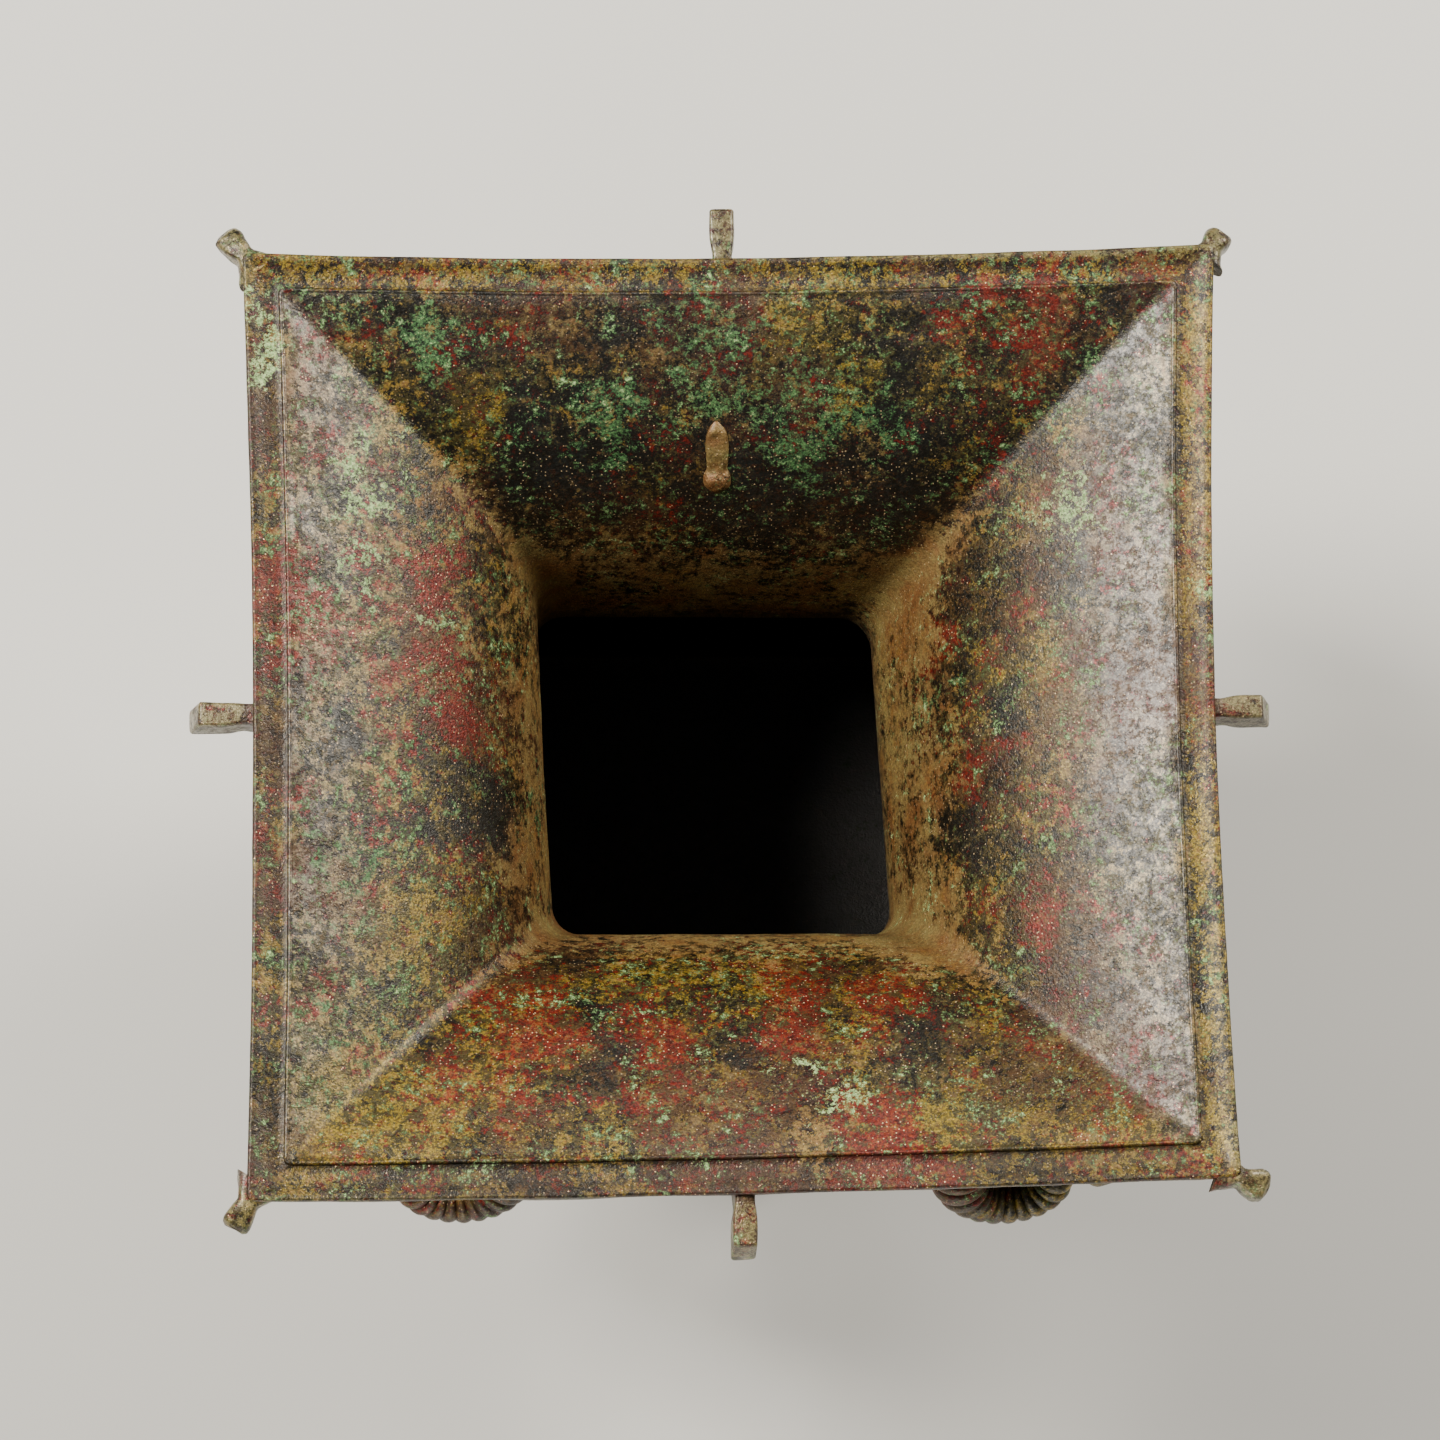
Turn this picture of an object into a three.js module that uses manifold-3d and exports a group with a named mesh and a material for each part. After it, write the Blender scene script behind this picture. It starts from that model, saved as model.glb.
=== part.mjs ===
// A square bronze zun: a cast ritual wine vessel with a wide trumpet mouth, a tapering belly and a
// hollow foot, flanges down every edge and every face, and a ram's head on each shoulder corner.
// Millimetres, +Z up. The origin is at the middle of the foot, on the surface that it stands on.
// The front is -Y. The whole vessel is one casting, so it is one closed solid.
import * as THREE from 'three';
import { mergeVertices } from 'three/addons/utils/BufferGeometryUtils.js';
import Module from 'manifold-3d';

const wasm = await Module();
wasm.setup();
const { Manifold, Mesh: ManifoldMesh } = wasm;

// Sizes of the vessel. A half width is measured across the front, from the axis to a side.
const HEIGHT = 425;
const MOUTH_HALF = 190.5;
const DEPTH_FOR_WIDTH = 0.968;
const WALL = 4.6;

const LIP_THICKNESS = 4.6;
const LIP_BAND = 16;
const LIP_GUTTER = 2.6;
const LIP_CREST = 1.4;
const LIP_CREST_WIDTH = 2;
const LIP_EDGE = 0.8;

const THROAT_HALF = 70;
const NECK_BASE_Z = 275;
const SHOULDER_HALF = 114;
const SHOULDER_EDGE_Z = 251;
const SHOULDER_EDGE_RISE = 3;
const BELLY_BASE_Z = 122;
const BELLY_BASE_HALF = 87;
const BELLY_BULGE = 7;
const FOOT_TOP_Z = 110;
const FOOT_TOP_HALF = 79;
const FOOT_HALF = 98;
const FOOT_LIP = 12;
const FOOT_LIP_STEP = 1.5;
const FOOT_LIP_DROP = 0.5;
const FLOOR_Z = 118;
const FLOOR_THICKNESS = 6;
const FLOOR_FILLET = 5;

const MOUTH_CORNER_RADIUS = 3;
const BODY_CORNER_RADIUS = 7;
const THROAT_CORNER_RADIUS = 13;

// Sizes of the flanges. The reach is how far a flange stands off the wall.
const FLANGE_THICKNESS = 9.4;
const CORNER_FLANGE_THICKNESS = 8.6;
const FLANGE_ROOT = 2.4;
const FLANGE_GAP = 6;
const FLANGE_END_HEIGHT = 19;
const FLANGE_END_SLANT = 4.5;
const FLANGE_END_DROP = 3;
const FLANGE_TUCK = 5;
const NECK_FLANGE_REACH = 17;
const CORNER_NECK_FLANGE_REACH = 12;
const BELLY_FLANGE_REACH = 12;
const FOOT_FLANGE_REACH = 10;
const KNOB_WIDTH = 10.5;
const KNOB_WAIST = 8;
const KNOB_HEIGHT = 14;
const KNOB_DROP = 0.4;
const NOTCH_PITCH = 40;
const NOTCH_WIDTH = 8;
const NOTCH_DEPTH = 4.2;

// Sizes of the raised ornament.
const ORNAMENT_GAP = 3;
const BLADE_HEIGHT = 2.4;
const BLADE_HALF_WIDTH = 22;
const BLADE_MARGIN = 9;
const BLADE_LEAN = 26;
const BLADE_TIP_DROP = 32;
const MASK_HEIGHT = 3.6;
const BELLY_MASK_SIZE = 24;
const FOOT_MASK_SIZE = 19;
const BELLY_EYE_RADIUS = 9;
const FOOT_EYE_RADIUS = 7;
const EYE_HEIGHT = 5.5;

// Sizes of a ram's head. It looks out along the diagonal, and its horns coil in beside its face.
const HEAD_STAND_OFF = 25;
const HEAD_RISE = 5;
const HEAD_LENGTH = 115;
const RAM_EYE_RADIUS = 6;
const EAR_LENGTH = 30;
const HORN_COIL_RADIUS = 23.5;
const HORN_TUBE = 11.5;
const HORN_COIL_FORWARD = 12;
const HORN_COIL_SIDE = 32.5;
const HORN_COIL_DROP = 6;
const HORN_TURN_OUT = 45;
const HORN_LEAN = 30;
const HORN_SWEEP = 400;
const HORN_STEPS = 15;
const HORN_SIDES = 5;
const HORN_RIB = 0.13;
const HORN_INSET = 8;
const HORN_SCREW = 3;

// The old casting is out of true and worn. From the back left corner of the mouth clockwise: where
// each corner has gone, how many degrees its knob is turned and how far the knob reaches. From the
// right side anticlockwise: where the middle of each side has gone, and how far its flange reaches
// past the lip. Then how high the corners lift, and how the throat sits.
const CORNER_DRIFT = [[-2.5, -0.2], [-2.1, 6], [3.7, 8], [4.2, -2.3]];
const KNOB_TURNS = [-6, 14, 20, 16];
const KNOB_REACHES = [13, 8.5, 12.5, 12];
const SIDE_DRIFT = [[-4.3, 0.6], [-2.7, -2.6], [3, 4.3], [0, -1.3]];
const MOUTH_FLANGE_REACHES = [19, 20.5, 21.5, 19.5];
const MOUTH_CORNER_LIFT = 6;
const THROAT_SHIFT = -5.8;
const THROAT_SKEW = -0.067;
const THROAT_DRIFT_SPREAD = 45;

// Steps around a rounded corner, along a side, and down each stretch of the profile.
const CORNER_STEPS = 2;
const SIDE_STEPS = 2;
const NECK_STEPS = 7;
const BELLY_STEPS = 4;
const FOOT_STEPS = 3;

const BRONZE = new THREE.MeshStandardMaterial({ color: 0x5b4a2c, roughness: 0.55, metalness: 0.7 });

const { lerp, clamp, degToRad, radToDeg } = THREE.MathUtils;

// Whole steps from 0 to 1, both ends included.
function shares(steps) {
  return Array.from({ length: steps + 1 }, (_, k) => k / steps);
}

// Solids from triangles

function toSolid(geometry) {
  const bare = geometry.clone();
  bare.deleteAttribute('normal');
  bare.deleteAttribute('uv');
  const merged = mergeVertices(bare, 1e-4);
  return new Manifold(new ManifoldMesh({
    numProp: 3,
    vertProperties: new Float32Array(merged.attributes.position.array),
    triVerts: new Uint32Array(merged.index.array),
  }));
}

function facesOutward(positions, index) {
  let sixVolumes = 0;
  const corner = (n) => new THREE.Vector3().fromArray(positions, 3 * n);
  for (let t = 0; t < index.length; t += 3) {
    sixVolumes += corner(index[t]).dot(corner(index[t + 1]).cross(corner(index[t + 2])));
  }
  return sixVolumes > 0;
}

function flipped(index) {
  const turned = index.slice();
  for (let t = 0; t < turned.length; t += 3) {
    [turned[t + 1], turned[t + 2]] = [turned[t + 2], turned[t + 1]];
  }
  return turned;
}

// A closed solid whose surface runs through rings of equal length, with a point at each end.
function ringSolid(rings, firstPole, lastPole) {
  const count = rings[0].length;
  const positions = [...rings.flat(2), ...firstPole, ...lastPole];
  const first = rings.length * count;
  const last = first + 1;
  const top = (rings.length - 1) * count;
  const index = [];
  for (let i = 0; i < count; i += 1) {
    const next = (i + 1) % count;
    index.push(first, next, i);
    for (let low = 0; low < top; low += count) {
      const high = low + count;
      index.push(low + i, low + next, high + next, low + i, high + next, high + i);
    }
    index.push(last, top + i, top + next);
  }
  const geometry = new THREE.BufferGeometry();
  geometry.setAttribute('position', new THREE.Float32BufferAttribute(positions, 3));
  geometry.setIndex(facesOutward(positions, index) ? index : flipped(index));
  return toSolid(geometry);
}

// A flat outline given a thickness, from a list of [x, y] corners.
function prism(outline, depth) {
  const shape = new THREE.Shape(outline.map(([x, y]) => new THREE.Vector2(x, y)));
  return new THREE.ExtrudeGeometry(shape, { depth, bevelEnabled: false });
}

// A tube through points with a radius at each, or a half width and a half height.
function tube(points, radii, sides, across) {
  const path = points.map((point) => new THREE.Vector3(...point));
  const rings = path.map((centre, i) => {
    const before = path[Math.max(0, i - 1)];
    const after = path[Math.min(path.length - 1, i + 1)];
    const tangent = after.clone().sub(before).normalize();
    const sideways = across.clone().addScaledVector(tangent, -across.dot(tangent)).normalize();
    const upward = tangent.clone().cross(sideways);
    const [wide, tall] = Array.isArray(radii[i]) ? radii[i] : [radii[i], radii[i]];
    return Array.from({ length: sides }, (_, k) => {
      const turn = 2 * Math.PI * k / sides;
      return centre.clone()
        .addScaledVector(sideways, wide * Math.cos(turn))
        .addScaledVector(upward, tall * Math.sin(turn))
        .toArray();
    });
  });
  return ringSolid(rings, path[0].toArray(), path[path.length - 1].toArray());
}

// The vessel's sections

// One level of the vessel: a rounded square, a little less deep than it is wide.
function section({ half, z, radius }) {
  const halfDepth = half * DEPTH_FOR_WIDTH;
  const round = Math.min(radius, 0.45 * halfDepth);
  const points = [];
  for (let side = 0; side < 4; side += 1) {
    const angle = side * Math.PI / 2;
    const [c, s] = [Math.round(Math.cos(angle)), Math.round(Math.sin(angle))];
    const [out, width] = side % 2 === 0 ? [half, halfDepth - round] : [halfDepth, half - round];
    for (let k = 0; k < SIDE_STEPS; k += 1) {
      const along = width * (2 * k / SIDE_STEPS - 1);
      points.push([c * out - s * along, s * out + c * along, z]);
    }
    const centreX = (side === 0 || side === 3 ? 1 : -1) * (half - round);
    const centreY = (side < 2 ? 1 : -1) * (halfDepth - round);
    for (let k = 0; k < CORNER_STEPS; k += 1) {
      const turn = angle + (k / CORNER_STEPS) * Math.PI / 2;
      points.push([centreX + round * Math.cos(turn), centreY + round * Math.sin(turn), z]);
    }
  }
  return points;
}

// The inside of the neck, from the crest under the lip down to the throat's lower edge.
const crestHalf = MOUTH_HALF - LIP_BAND;
const crestZ = HEIGHT - LIP_GUTTER + LIP_CREST;
const neckDepth = crestZ - NECK_BASE_Z;
const neckInside = new THREE.CubicBezierCurve(
  new THREE.Vector2(crestHalf, crestZ),
  new THREE.Vector2(lerp(THROAT_HALF, crestHalf, 0.33), crestZ - 0.18 * neckDepth),
  new THREE.Vector2(THROAT_HALF, crestZ - 0.42 * neckDepth),
  new THREE.Vector2(THROAT_HALF, NECK_BASE_Z),
);

// The neck's curve moved outwards by a distance, as [half width, z] at a share of its length.
function neckWall(share, distance) {
  const point = neckInside.getPoint(share);
  const tangent = neckInside.getTangent(share);
  return [point.x - tangent.y * distance, point.y + tangent.x * distance];
}

// The radius of the neck's corners: sharp at the mouth and soft at the throat.
function neckCornerRadius(share, inside) {
  const radius = lerp(MOUTH_CORNER_RADIUS, THROAT_CORNER_RADIUS, share ** 1.5);
  return inside ? radius : 0.6 * radius;
}

// The shoulder slopes, so its wall stands higher outside than inside where it meets the neck.
const shoulderTopZ = NECK_BASE_Z + 0.65 * WALL;

// The belly's outside, from the shoulder's edge down to its base.
function bellyHalf(z) {
  const down = clamp((SHOULDER_EDGE_Z - z) / (SHOULDER_EDGE_Z - BELLY_BASE_Z), 0, 1);
  return lerp(SHOULDER_HALF, BELLY_BASE_HALF, down) + BELLY_BULGE * Math.sin(Math.PI * down ** 0.85);
}

// The foot's outside, which spreads towards the ground and ends in an upright lip.
function footHalf(z) {
  const down = clamp((FOOT_TOP_Z - z) / (FOOT_TOP_Z - FOOT_LIP), 0, 1);
  return lerp(FOOT_TOP_HALF, FOOT_HALF - FOOT_LIP_STEP, down ** 1.35);
}

const neckShares = shares(NECK_STEPS);
const bellyLevels = shares(BELLY_STEPS).map((k) => lerp(SHOULDER_EDGE_Z, BELLY_BASE_Z, k));
const footLevels = shares(FOOT_STEPS).map((k) => lerp(FOOT_TOP_Z, FOOT_LIP, k));

// The outside from the lip down to the ground, grown outwards by a distance.
function outsideProfile(grow) {
  const radius = BODY_CORNER_RADIUS + grow;
  return [
    ...neckShares.map((share) => {
      const [half, z] = neckWall(share, WALL + grow);
      return { half, z: Math.max(z, shoulderTopZ), radius: neckCornerRadius(share, false) };
    }),
    {
      half: SHOULDER_HALF - 0.7 * SHOULDER_EDGE_RISE + grow,
      z: SHOULDER_EDGE_Z + SHOULDER_EDGE_RISE + grow,
      radius,
    },
    ...bellyLevels.map((z) => ({ half: bellyHalf(z) + grow, z, radius })),
    ...footLevels.map((z) => ({ half: footHalf(z) + grow, z, radius })),
    { half: FOOT_HALF + grow, z: FOOT_LIP - FOOT_LIP_DROP, radius },
    { half: FOOT_HALF + grow, z: 0, radius },
  ];
}

// The lip: a band with a shallow gutter, whose inner edge is a low crest.
function lipProfile() {
  const radius = MOUTH_CORNER_RADIUS;
  return [
    { half: crestHalf + LIP_CREST_WIDTH, z: HEIGHT - LIP_GUTTER, radius },
    { half: MOUTH_HALF - 0.4 * LIP_BAND, z: HEIGHT - 0.75 * LIP_GUTTER, radius },
    { half: MOUTH_HALF - 0.75 * LIP_EDGE, z: HEIGHT, radius },
    { half: MOUTH_HALF, z: HEIGHT - LIP_EDGE, radius },
    { half: MOUTH_HALF, z: HEIGHT - LIP_THICKNESS, radius },
  ];
}

// The inside of the belly, from the floor up to the underside of the shoulder.
function bellyInside() {
  const radius = BODY_CORNER_RADIUS;
  const floorHalf = bellyHalf(BELLY_BASE_Z) - WALL;
  const walls = bellyLevels.slice(0, -1).reverse();
  return [
    { half: 0.5 * floorHalf, z: FLOOR_Z, radius },
    { half: floorHalf - FLOOR_FILLET, z: FLOOR_Z, radius },
    { half: floorHalf - 0.2 * FLOOR_FILLET, z: FLOOR_Z + 0.6 * FLOOR_FILLET, radius },
    ...walls.map((z) => ({
      half: bellyHalf(z) - WALL,
      z: Math.min(z, SHOULDER_EDGE_Z - 0.25 * WALL),
      radius,
    })),
  ];
}

// The hollow inside the foot, from the ground up to the underside of the floor.
function footInside() {
  const radius = BODY_CORNER_RADIUS;
  const ceiling = FLOOR_Z - FLOOR_THICKNESS;
  return [
    { half: FOOT_HALF - WALL - FOOT_LIP_DROP, z: 0, radius },
    ...[...footLevels].reverse().map((z) => ({
      half: footHalf(z) - WALL,
      z: Math.min(z, ceiling - 0.4 * FLOOR_FILLET),
      radius,
    })),
    { half: 0.5 * FOOT_TOP_HALF, z: ceiling, radius },
  ];
}

function makeShell() {
  const throat = [...neckShares].reverse().map((share) => {
    const [half, z] = neckWall(share, 0);
    return { half, z, radius: neckCornerRadius(share, true) };
  });
  const profile = [
    ...bellyInside(),
    ...throat,
    ...lipProfile(),
    ...outsideProfile(0),
    ...footInside(),
  ];
  return ringSolid(profile.map(section), [0, 0, FLOOR_Z], [0, 0, FLOOR_Z - FLOOR_THICKNESS]);
}

// The body as if it were filled, grown by a distance. Raised ornament lies between two of these.
function filledBody(grow) {
  const profile = outsideProfile(grow);
  const top = profile[0].z;
  const bottom = profile[profile.length - 1].z;
  return ringSolid(profile.map(section), [0, 0, top], [0, 0, bottom]);
}

// Flanges

// The ways out from the axis, to four faces and to four corners. Stretch is how much further out the
// wall is there than the half width, and cut is how much nearer a rounded corner is than a sharp one.
const diagonal = Math.atan2(DEPTH_FOR_WIDTH, 1);
const faceWays = [0, 1, 2, 3].map((k) => ({
  angle: k * Math.PI / 2,
  stretch: k % 2 === 0 ? 1 : DEPTH_FOR_WIDTH,
  cut: () => 0,
  thickness: FLANGE_THICKNESS,
  neckReach: NECK_FLANGE_REACH,
  mouthReach: MOUTH_FLANGE_REACHES[k],
}));
const cornerWays = [Math.PI - diagonal, diagonal, -diagonal, Math.PI + diagonal].map((angle, k) => ({
  angle,
  stretch: Math.hypot(1, DEPTH_FOR_WIDTH),
  cut: (radius) => radius * (Math.SQRT2 - 1),
  thickness: CORNER_FLANGE_THICKNESS,
  neckReach: CORNER_NECK_FLANGE_REACH,
  knob: { turn: degToRad(KNOB_TURNS[k]), reach: KNOB_REACHES[k] },
}));

// An upright plate from an outline of [distance from the axis, z], standing out at an angle.
function plate(outline, thickness, angle) {
  const geometry = prism(outline, thickness);
  geometry.translate(0, 0, -thickness / 2);
  geometry.rotateX(Math.PI / 2);
  geometry.rotateZ(angle);
  return toSolid(geometry);
}

// The outer edge of a flange with a hooked notch cut in it at every pitch.
function notched(edge, inwards) {
  const cut = [];
  let travelled = 0;
  let nextNotch = 0.6 * NOTCH_PITCH;
  for (let i = 0; i + 1 < edge.length; i += 1) {
    const [r0, z0] = edge[i];
    const [r1, z1] = edge[i + 1];
    const length = Math.hypot(r1 - r0, z1 - z0);
    const at = (distance, depth) => [
      lerp(r0, r1, distance / length) + inwards[0] * depth,
      lerp(z0, z1, distance / length) + inwards[1] * depth,
    ];
    cut.push([r0, z0]);
    while (nextNotch + NOTCH_WIDTH < travelled + length) {
      const start = Math.max(nextNotch - travelled, 0.125 * NOTCH_WIDTH);
      cut.push(at(start, 0), at(start, NOTCH_DEPTH), at(start + NOTCH_WIDTH, 0));
      nextNotch += NOTCH_PITCH;
    }
    travelled += length;
  }
  cut.push(edge[edge.length - 1]);
  return cut;
}

// A flange up the neck. A face's flange runs out past the lip and ends in an upright face.
function neckFlange({ angle, stretch, cut, thickness, neckReach, mouthReach, knob }) {
  const wallAt = (share, distance) => {
    const [half, z] = neckWall(share, WALL + distance);
    return [half * stretch - cut(neckCornerRadius(share, false)), z];
  };
  const edgeAt = (share) => {
    const [r, z] = wallAt(share, 0);
    const tangent = neckInside.getTangent(share);
    return [r - tangent.y * neckReach, z + tangent.x * neckReach];
  };
  const lip = MOUTH_HALF * stretch - cut(MOUTH_CORNER_RADIUS);
  const top = HEIGHT - FLANGE_END_DROP;
  const down = [0.16, 0.32, 0.48, 0.64, 0.8, 0.93];
  const end = knob ? [
    [lip, top],
    [lip, top - 0.8 * KNOB_HEIGHT],
    [lip - 0.5 * KNOB_HEIGHT, top - 1.2 * KNOB_HEIGHT],
  ] : [
    [lip + mouthReach, top],
    [lip + mouthReach + FLANGE_END_SLANT, top - FLANGE_END_HEIGHT],
    [lip - 0.8 * FLANGE_TUCK, top - FLANGE_END_HEIGHT - 0.2 * FLANGE_TUCK],
  ];
  const root = [...down].reverse().concat(0.05).map((share) => wallAt(share, -FLANGE_ROOT));
  const tuck = [lip - FLANGE_TUCK, top - 0.2 * FLANGE_TUCK];
  const outline = [...notched(down.map(edgeAt), [-1, 0.35]), ...root, tuck, ...end];
  return plate(outline, thickness, angle);
}

// A knob on a corner of the mouth: the lip drawn out to a waist and a blunt swollen end.
function mouthKnob({ angle, stretch, cut, knob }) {
  const edge = [
    [-0.57 * KNOB_WIDTH, 0.5 * KNOB_WIDTH],
    [0.1 * knob.reach, 0.5 * KNOB_WAIST],
    [0.65 * knob.reach, 0.5 * KNOB_WIDTH],
    [knob.reach, 0.28 * KNOB_WIDTH],
  ];
  const otherEdge = edge.map(([r, side]) => [r, -side]).reverse();
  const geometry = prism([...edge, ...otherEdge], KNOB_HEIGHT);
  geometry.translate(0, 0, HEIGHT - KNOB_DROP - KNOB_HEIGHT);
  geometry.rotateZ(angle + knob.turn);
  const lip = MOUTH_HALF * stretch - cut(MOUTH_CORNER_RADIUS);
  geometry.translate(lip * Math.cos(angle), lip * Math.sin(angle), 0);
  return toSolid(geometry);
}

// A flange down the belly or the foot, between two heights.
function bodyFlange({ angle, stretch, cut, thickness }, halfAt, topZ, bottomZ, reach) {
  const levels = shares(4).map((k) => lerp(topZ, bottomZ, k));
  const wallAt = (z, distance) => [halfAt(z) * stretch - cut(BODY_CORNER_RADIUS) + distance, z];
  const outer = levels.map((z) => wallAt(z, reach));
  const root = [...levels].reverse().map((z) => wallAt(z, -FLANGE_ROOT));
  return plate([...notched(outer, [-1, 0]), ...root], thickness, angle);
}

function makeFlanges() {
  const bellyBottom = BELLY_BASE_Z + FLANGE_GAP;
  const footTop = FOOT_TOP_Z - FLANGE_GAP;
  const footBottom = FOOT_LIP + 0.5 * FLANGE_GAP;
  const underBreast = SHOULDER_EDGE_Z - 0.54 * HEAD_LENGTH;
  const along = (way, bellyTop) => [
    neckFlange(way),
    bodyFlange(way, bellyHalf, bellyTop, bellyBottom, BELLY_FLANGE_REACH),
    bodyFlange(way, footHalf, footTop, footBottom, FOOT_FLANGE_REACH),
  ];
  return [
    ...faceWays.flatMap((way) => along(way, SHOULDER_EDGE_Z - FLANGE_GAP)),
    ...cornerWays.flatMap((way) => [...along(way, underBreast), mouthKnob(way)]),
  ];
}

// Raised ornament on the faces

// A flat pattern in the plane of a face, pushed through the wall along the face's normal.
function throughFace(shape, angle) {
  const options = { depth: MOUTH_HALF, bevelEnabled: false, curveSegments: 2 };
  const geometry = new THREE.ExtrudeGeometry(shape, options);
  geometry.rotateX(Math.PI / 2);
  geometry.translate(0, -0.05 * MOUTH_HALF, 0);
  geometry.rotateZ(angle + Math.PI / 2);
  return toSolid(geometry);
}

// A long blade like a plantain leaf that stands on the neck's base and points up.
function bladeShape(side) {
  const inner = 0.5 * FLANGE_THICKNESS + ORNAMENT_GAP;
  const outer = THROAT_HALF - BLADE_MARGIN;
  const half = Math.min(BLADE_HALF_WIDTH, 0.5 * (outer - inner));
  const middle = side * 0.5 * (inner + outer);
  const base = NECK_BASE_Z + BLADE_MARGIN;
  const tip = HEIGHT - BLADE_TIP_DROP;
  const waist = lerp(base, tip, 0.6);
  const shape = new THREE.Shape();
  shape.moveTo(middle - half, base);
  shape.lineTo(middle + half, base);
  shape.quadraticCurveTo(middle + half + side * 0.5 * BLADE_LEAN, waist, middle + side * BLADE_LEAN, tip);
  shape.quadraticCurveTo(middle - half + side * 0.3 * BLADE_LEAN, waist, middle - half, base);
  return shape;
}

// One horn of an animal mask: a thick C that curls out and up over the eye.
function maskHornShape(side, eyeX, eyeZ, size) {
  const centre = [side * (eyeX + 0.35 * size), eyeZ + 0.75 * size];
  const arc = (radius, from, to) => shares(4).map((k) => {
    const turn = degToRad(lerp(from, to, k));
    return new THREE.Vector2(centre[0] + side * radius * Math.cos(turn), centre[1] + radius * Math.sin(turn));
  });
  return new THREE.Shape([...arc(size, -150, 110), ...arc(0.62 * size, 110, -150)]);
}

// The mask's jaw and cheek: a block with a hooked lower end.
function maskJawShape(side, eyeX, eyeZ, size) {
  const inner = 0.5 * FLANGE_THICKNESS + ORNAMENT_GAP;
  const outer = eyeX + 0.55 * size;
  const points = [
    [inner, eyeZ - 0.1 * size],
    [eyeX - 0.5 * size, eyeZ - 0.2 * size],
    [eyeX - 0.35 * size, eyeZ - 0.85 * size],
    [outer, eyeZ - 0.75 * size],
    [outer + 0.35 * size, eyeZ - 1.15 * size],
    [outer - 0.2 * size, eyeZ - 1.55 * size],
    [inner, eyeZ - 1.55 * size],
  ];
  return new THREE.Shape(points.map(([x, z]) => new THREE.Vector2(side * x, z)));
}

function maskEye(side, eyeX, eyeZ, radius, wall, angle) {
  const eye = new THREE.SphereGeometry(radius, 6, 3);
  eye.scale(EYE_HEIGHT / radius, 1, 0.8);
  eye.translate(wall, side * eyeX, eyeZ);
  eye.rotateZ(angle);
  return toSolid(eye);
}

// Blades on the neck, masks with jaws on the belly, and plainer masks without jaws on the foot.
function makeOrnament(core) {
  const bladeSkin = filledBody(BLADE_HEIGHT).subtract(core);
  const maskSkin = filledBody(MASK_HEIGHT).subtract(core);
  const bellyEyeZ = lerp(BELLY_BASE_Z, SHOULDER_EDGE_Z, 0.54);
  const footEyeZ = lerp(FOOT_LIP, FOOT_TOP_Z, 0.55);
  const bellyEyeX = 0.36 * bellyHalf(bellyEyeZ);
  const footEyeX = 0.41 * footHalf(footEyeZ);
  const pieces = [];
  for (const { angle, stretch } of faceWays) {
    for (const side of [-1, 1]) {
      const belly = [side, bellyEyeX, bellyEyeZ];
      const foot = [side, footEyeX, footEyeZ];
      const masks = [
        maskHornShape(...belly, BELLY_MASK_SIZE),
        maskJawShape(...belly, BELLY_MASK_SIZE),
        maskHornShape(...foot, FOOT_MASK_SIZE),
      ];
      pieces.push(
        throughFace(bladeShape(side), angle).intersect(bladeSkin),
        ...masks.map((shape) => throughFace(shape, angle).intersect(maskSkin)),
        maskEye(...belly, BELLY_EYE_RADIUS, bellyHalf(bellyEyeZ) * stretch, angle),
        maskEye(...foot, FOOT_EYE_RADIUS, footHalf(footEyeZ) * stretch, angle),
      );
    }
  }
  return pieces;
}

// Rams' heads, each made looking out along +X and turned to its corner

const headOut = SHOULDER_HALF * Math.hypot(1, DEPTH_FOR_WIDTH) + HEAD_STAND_OFF;
const headZ = SHOULDER_EDGE_Z + HEAD_RISE;

// Neck, brow and muzzle: sections [out, up, half width, half height] as shares of the head's length.
const HEAD_SECTIONS = [
  [-0.63, -0.4, 0.235, 0.26],
  [-0.4, -0.24, 0.243, 0.27],
  [-0.21, -0.09, 0.226, 0.243],
  [-0.05, 0.01, 0.2, 0.217],
  [0.09, -0.02, 0.174, 0.19],
  [0.19, -0.1, 0.14, 0.148],
  [0.28, -0.19, 0.113, 0.113],
  [0.34, -0.26, 0.104, 0.087],
  [0.37, -0.3, 0.07, 0.052],
];

// The breast that carries the head down onto the belly's corner.
const BREAST_SECTIONS = [
  [-0.35, -0.26, 0.21, 0.174],
  [-0.3, -0.45, 0.19, 0.157],
  [-0.38, -0.64, 0.13, 0.12],
  [-0.5, -0.8, 0.06, 0.07],
];

function headTube(sections) {
  const points = sections.map(([out, up]) => [headOut + out * HEAD_LENGTH, 0, headZ + up * HEAD_LENGTH]);
  const radii = sections.map(([, , wide, tall]) => [wide * HEAD_LENGTH, tall * HEAD_LENGTH]);
  return tube(points, radii, 8, new THREE.Vector3(0, 1, 0));
}

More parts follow.
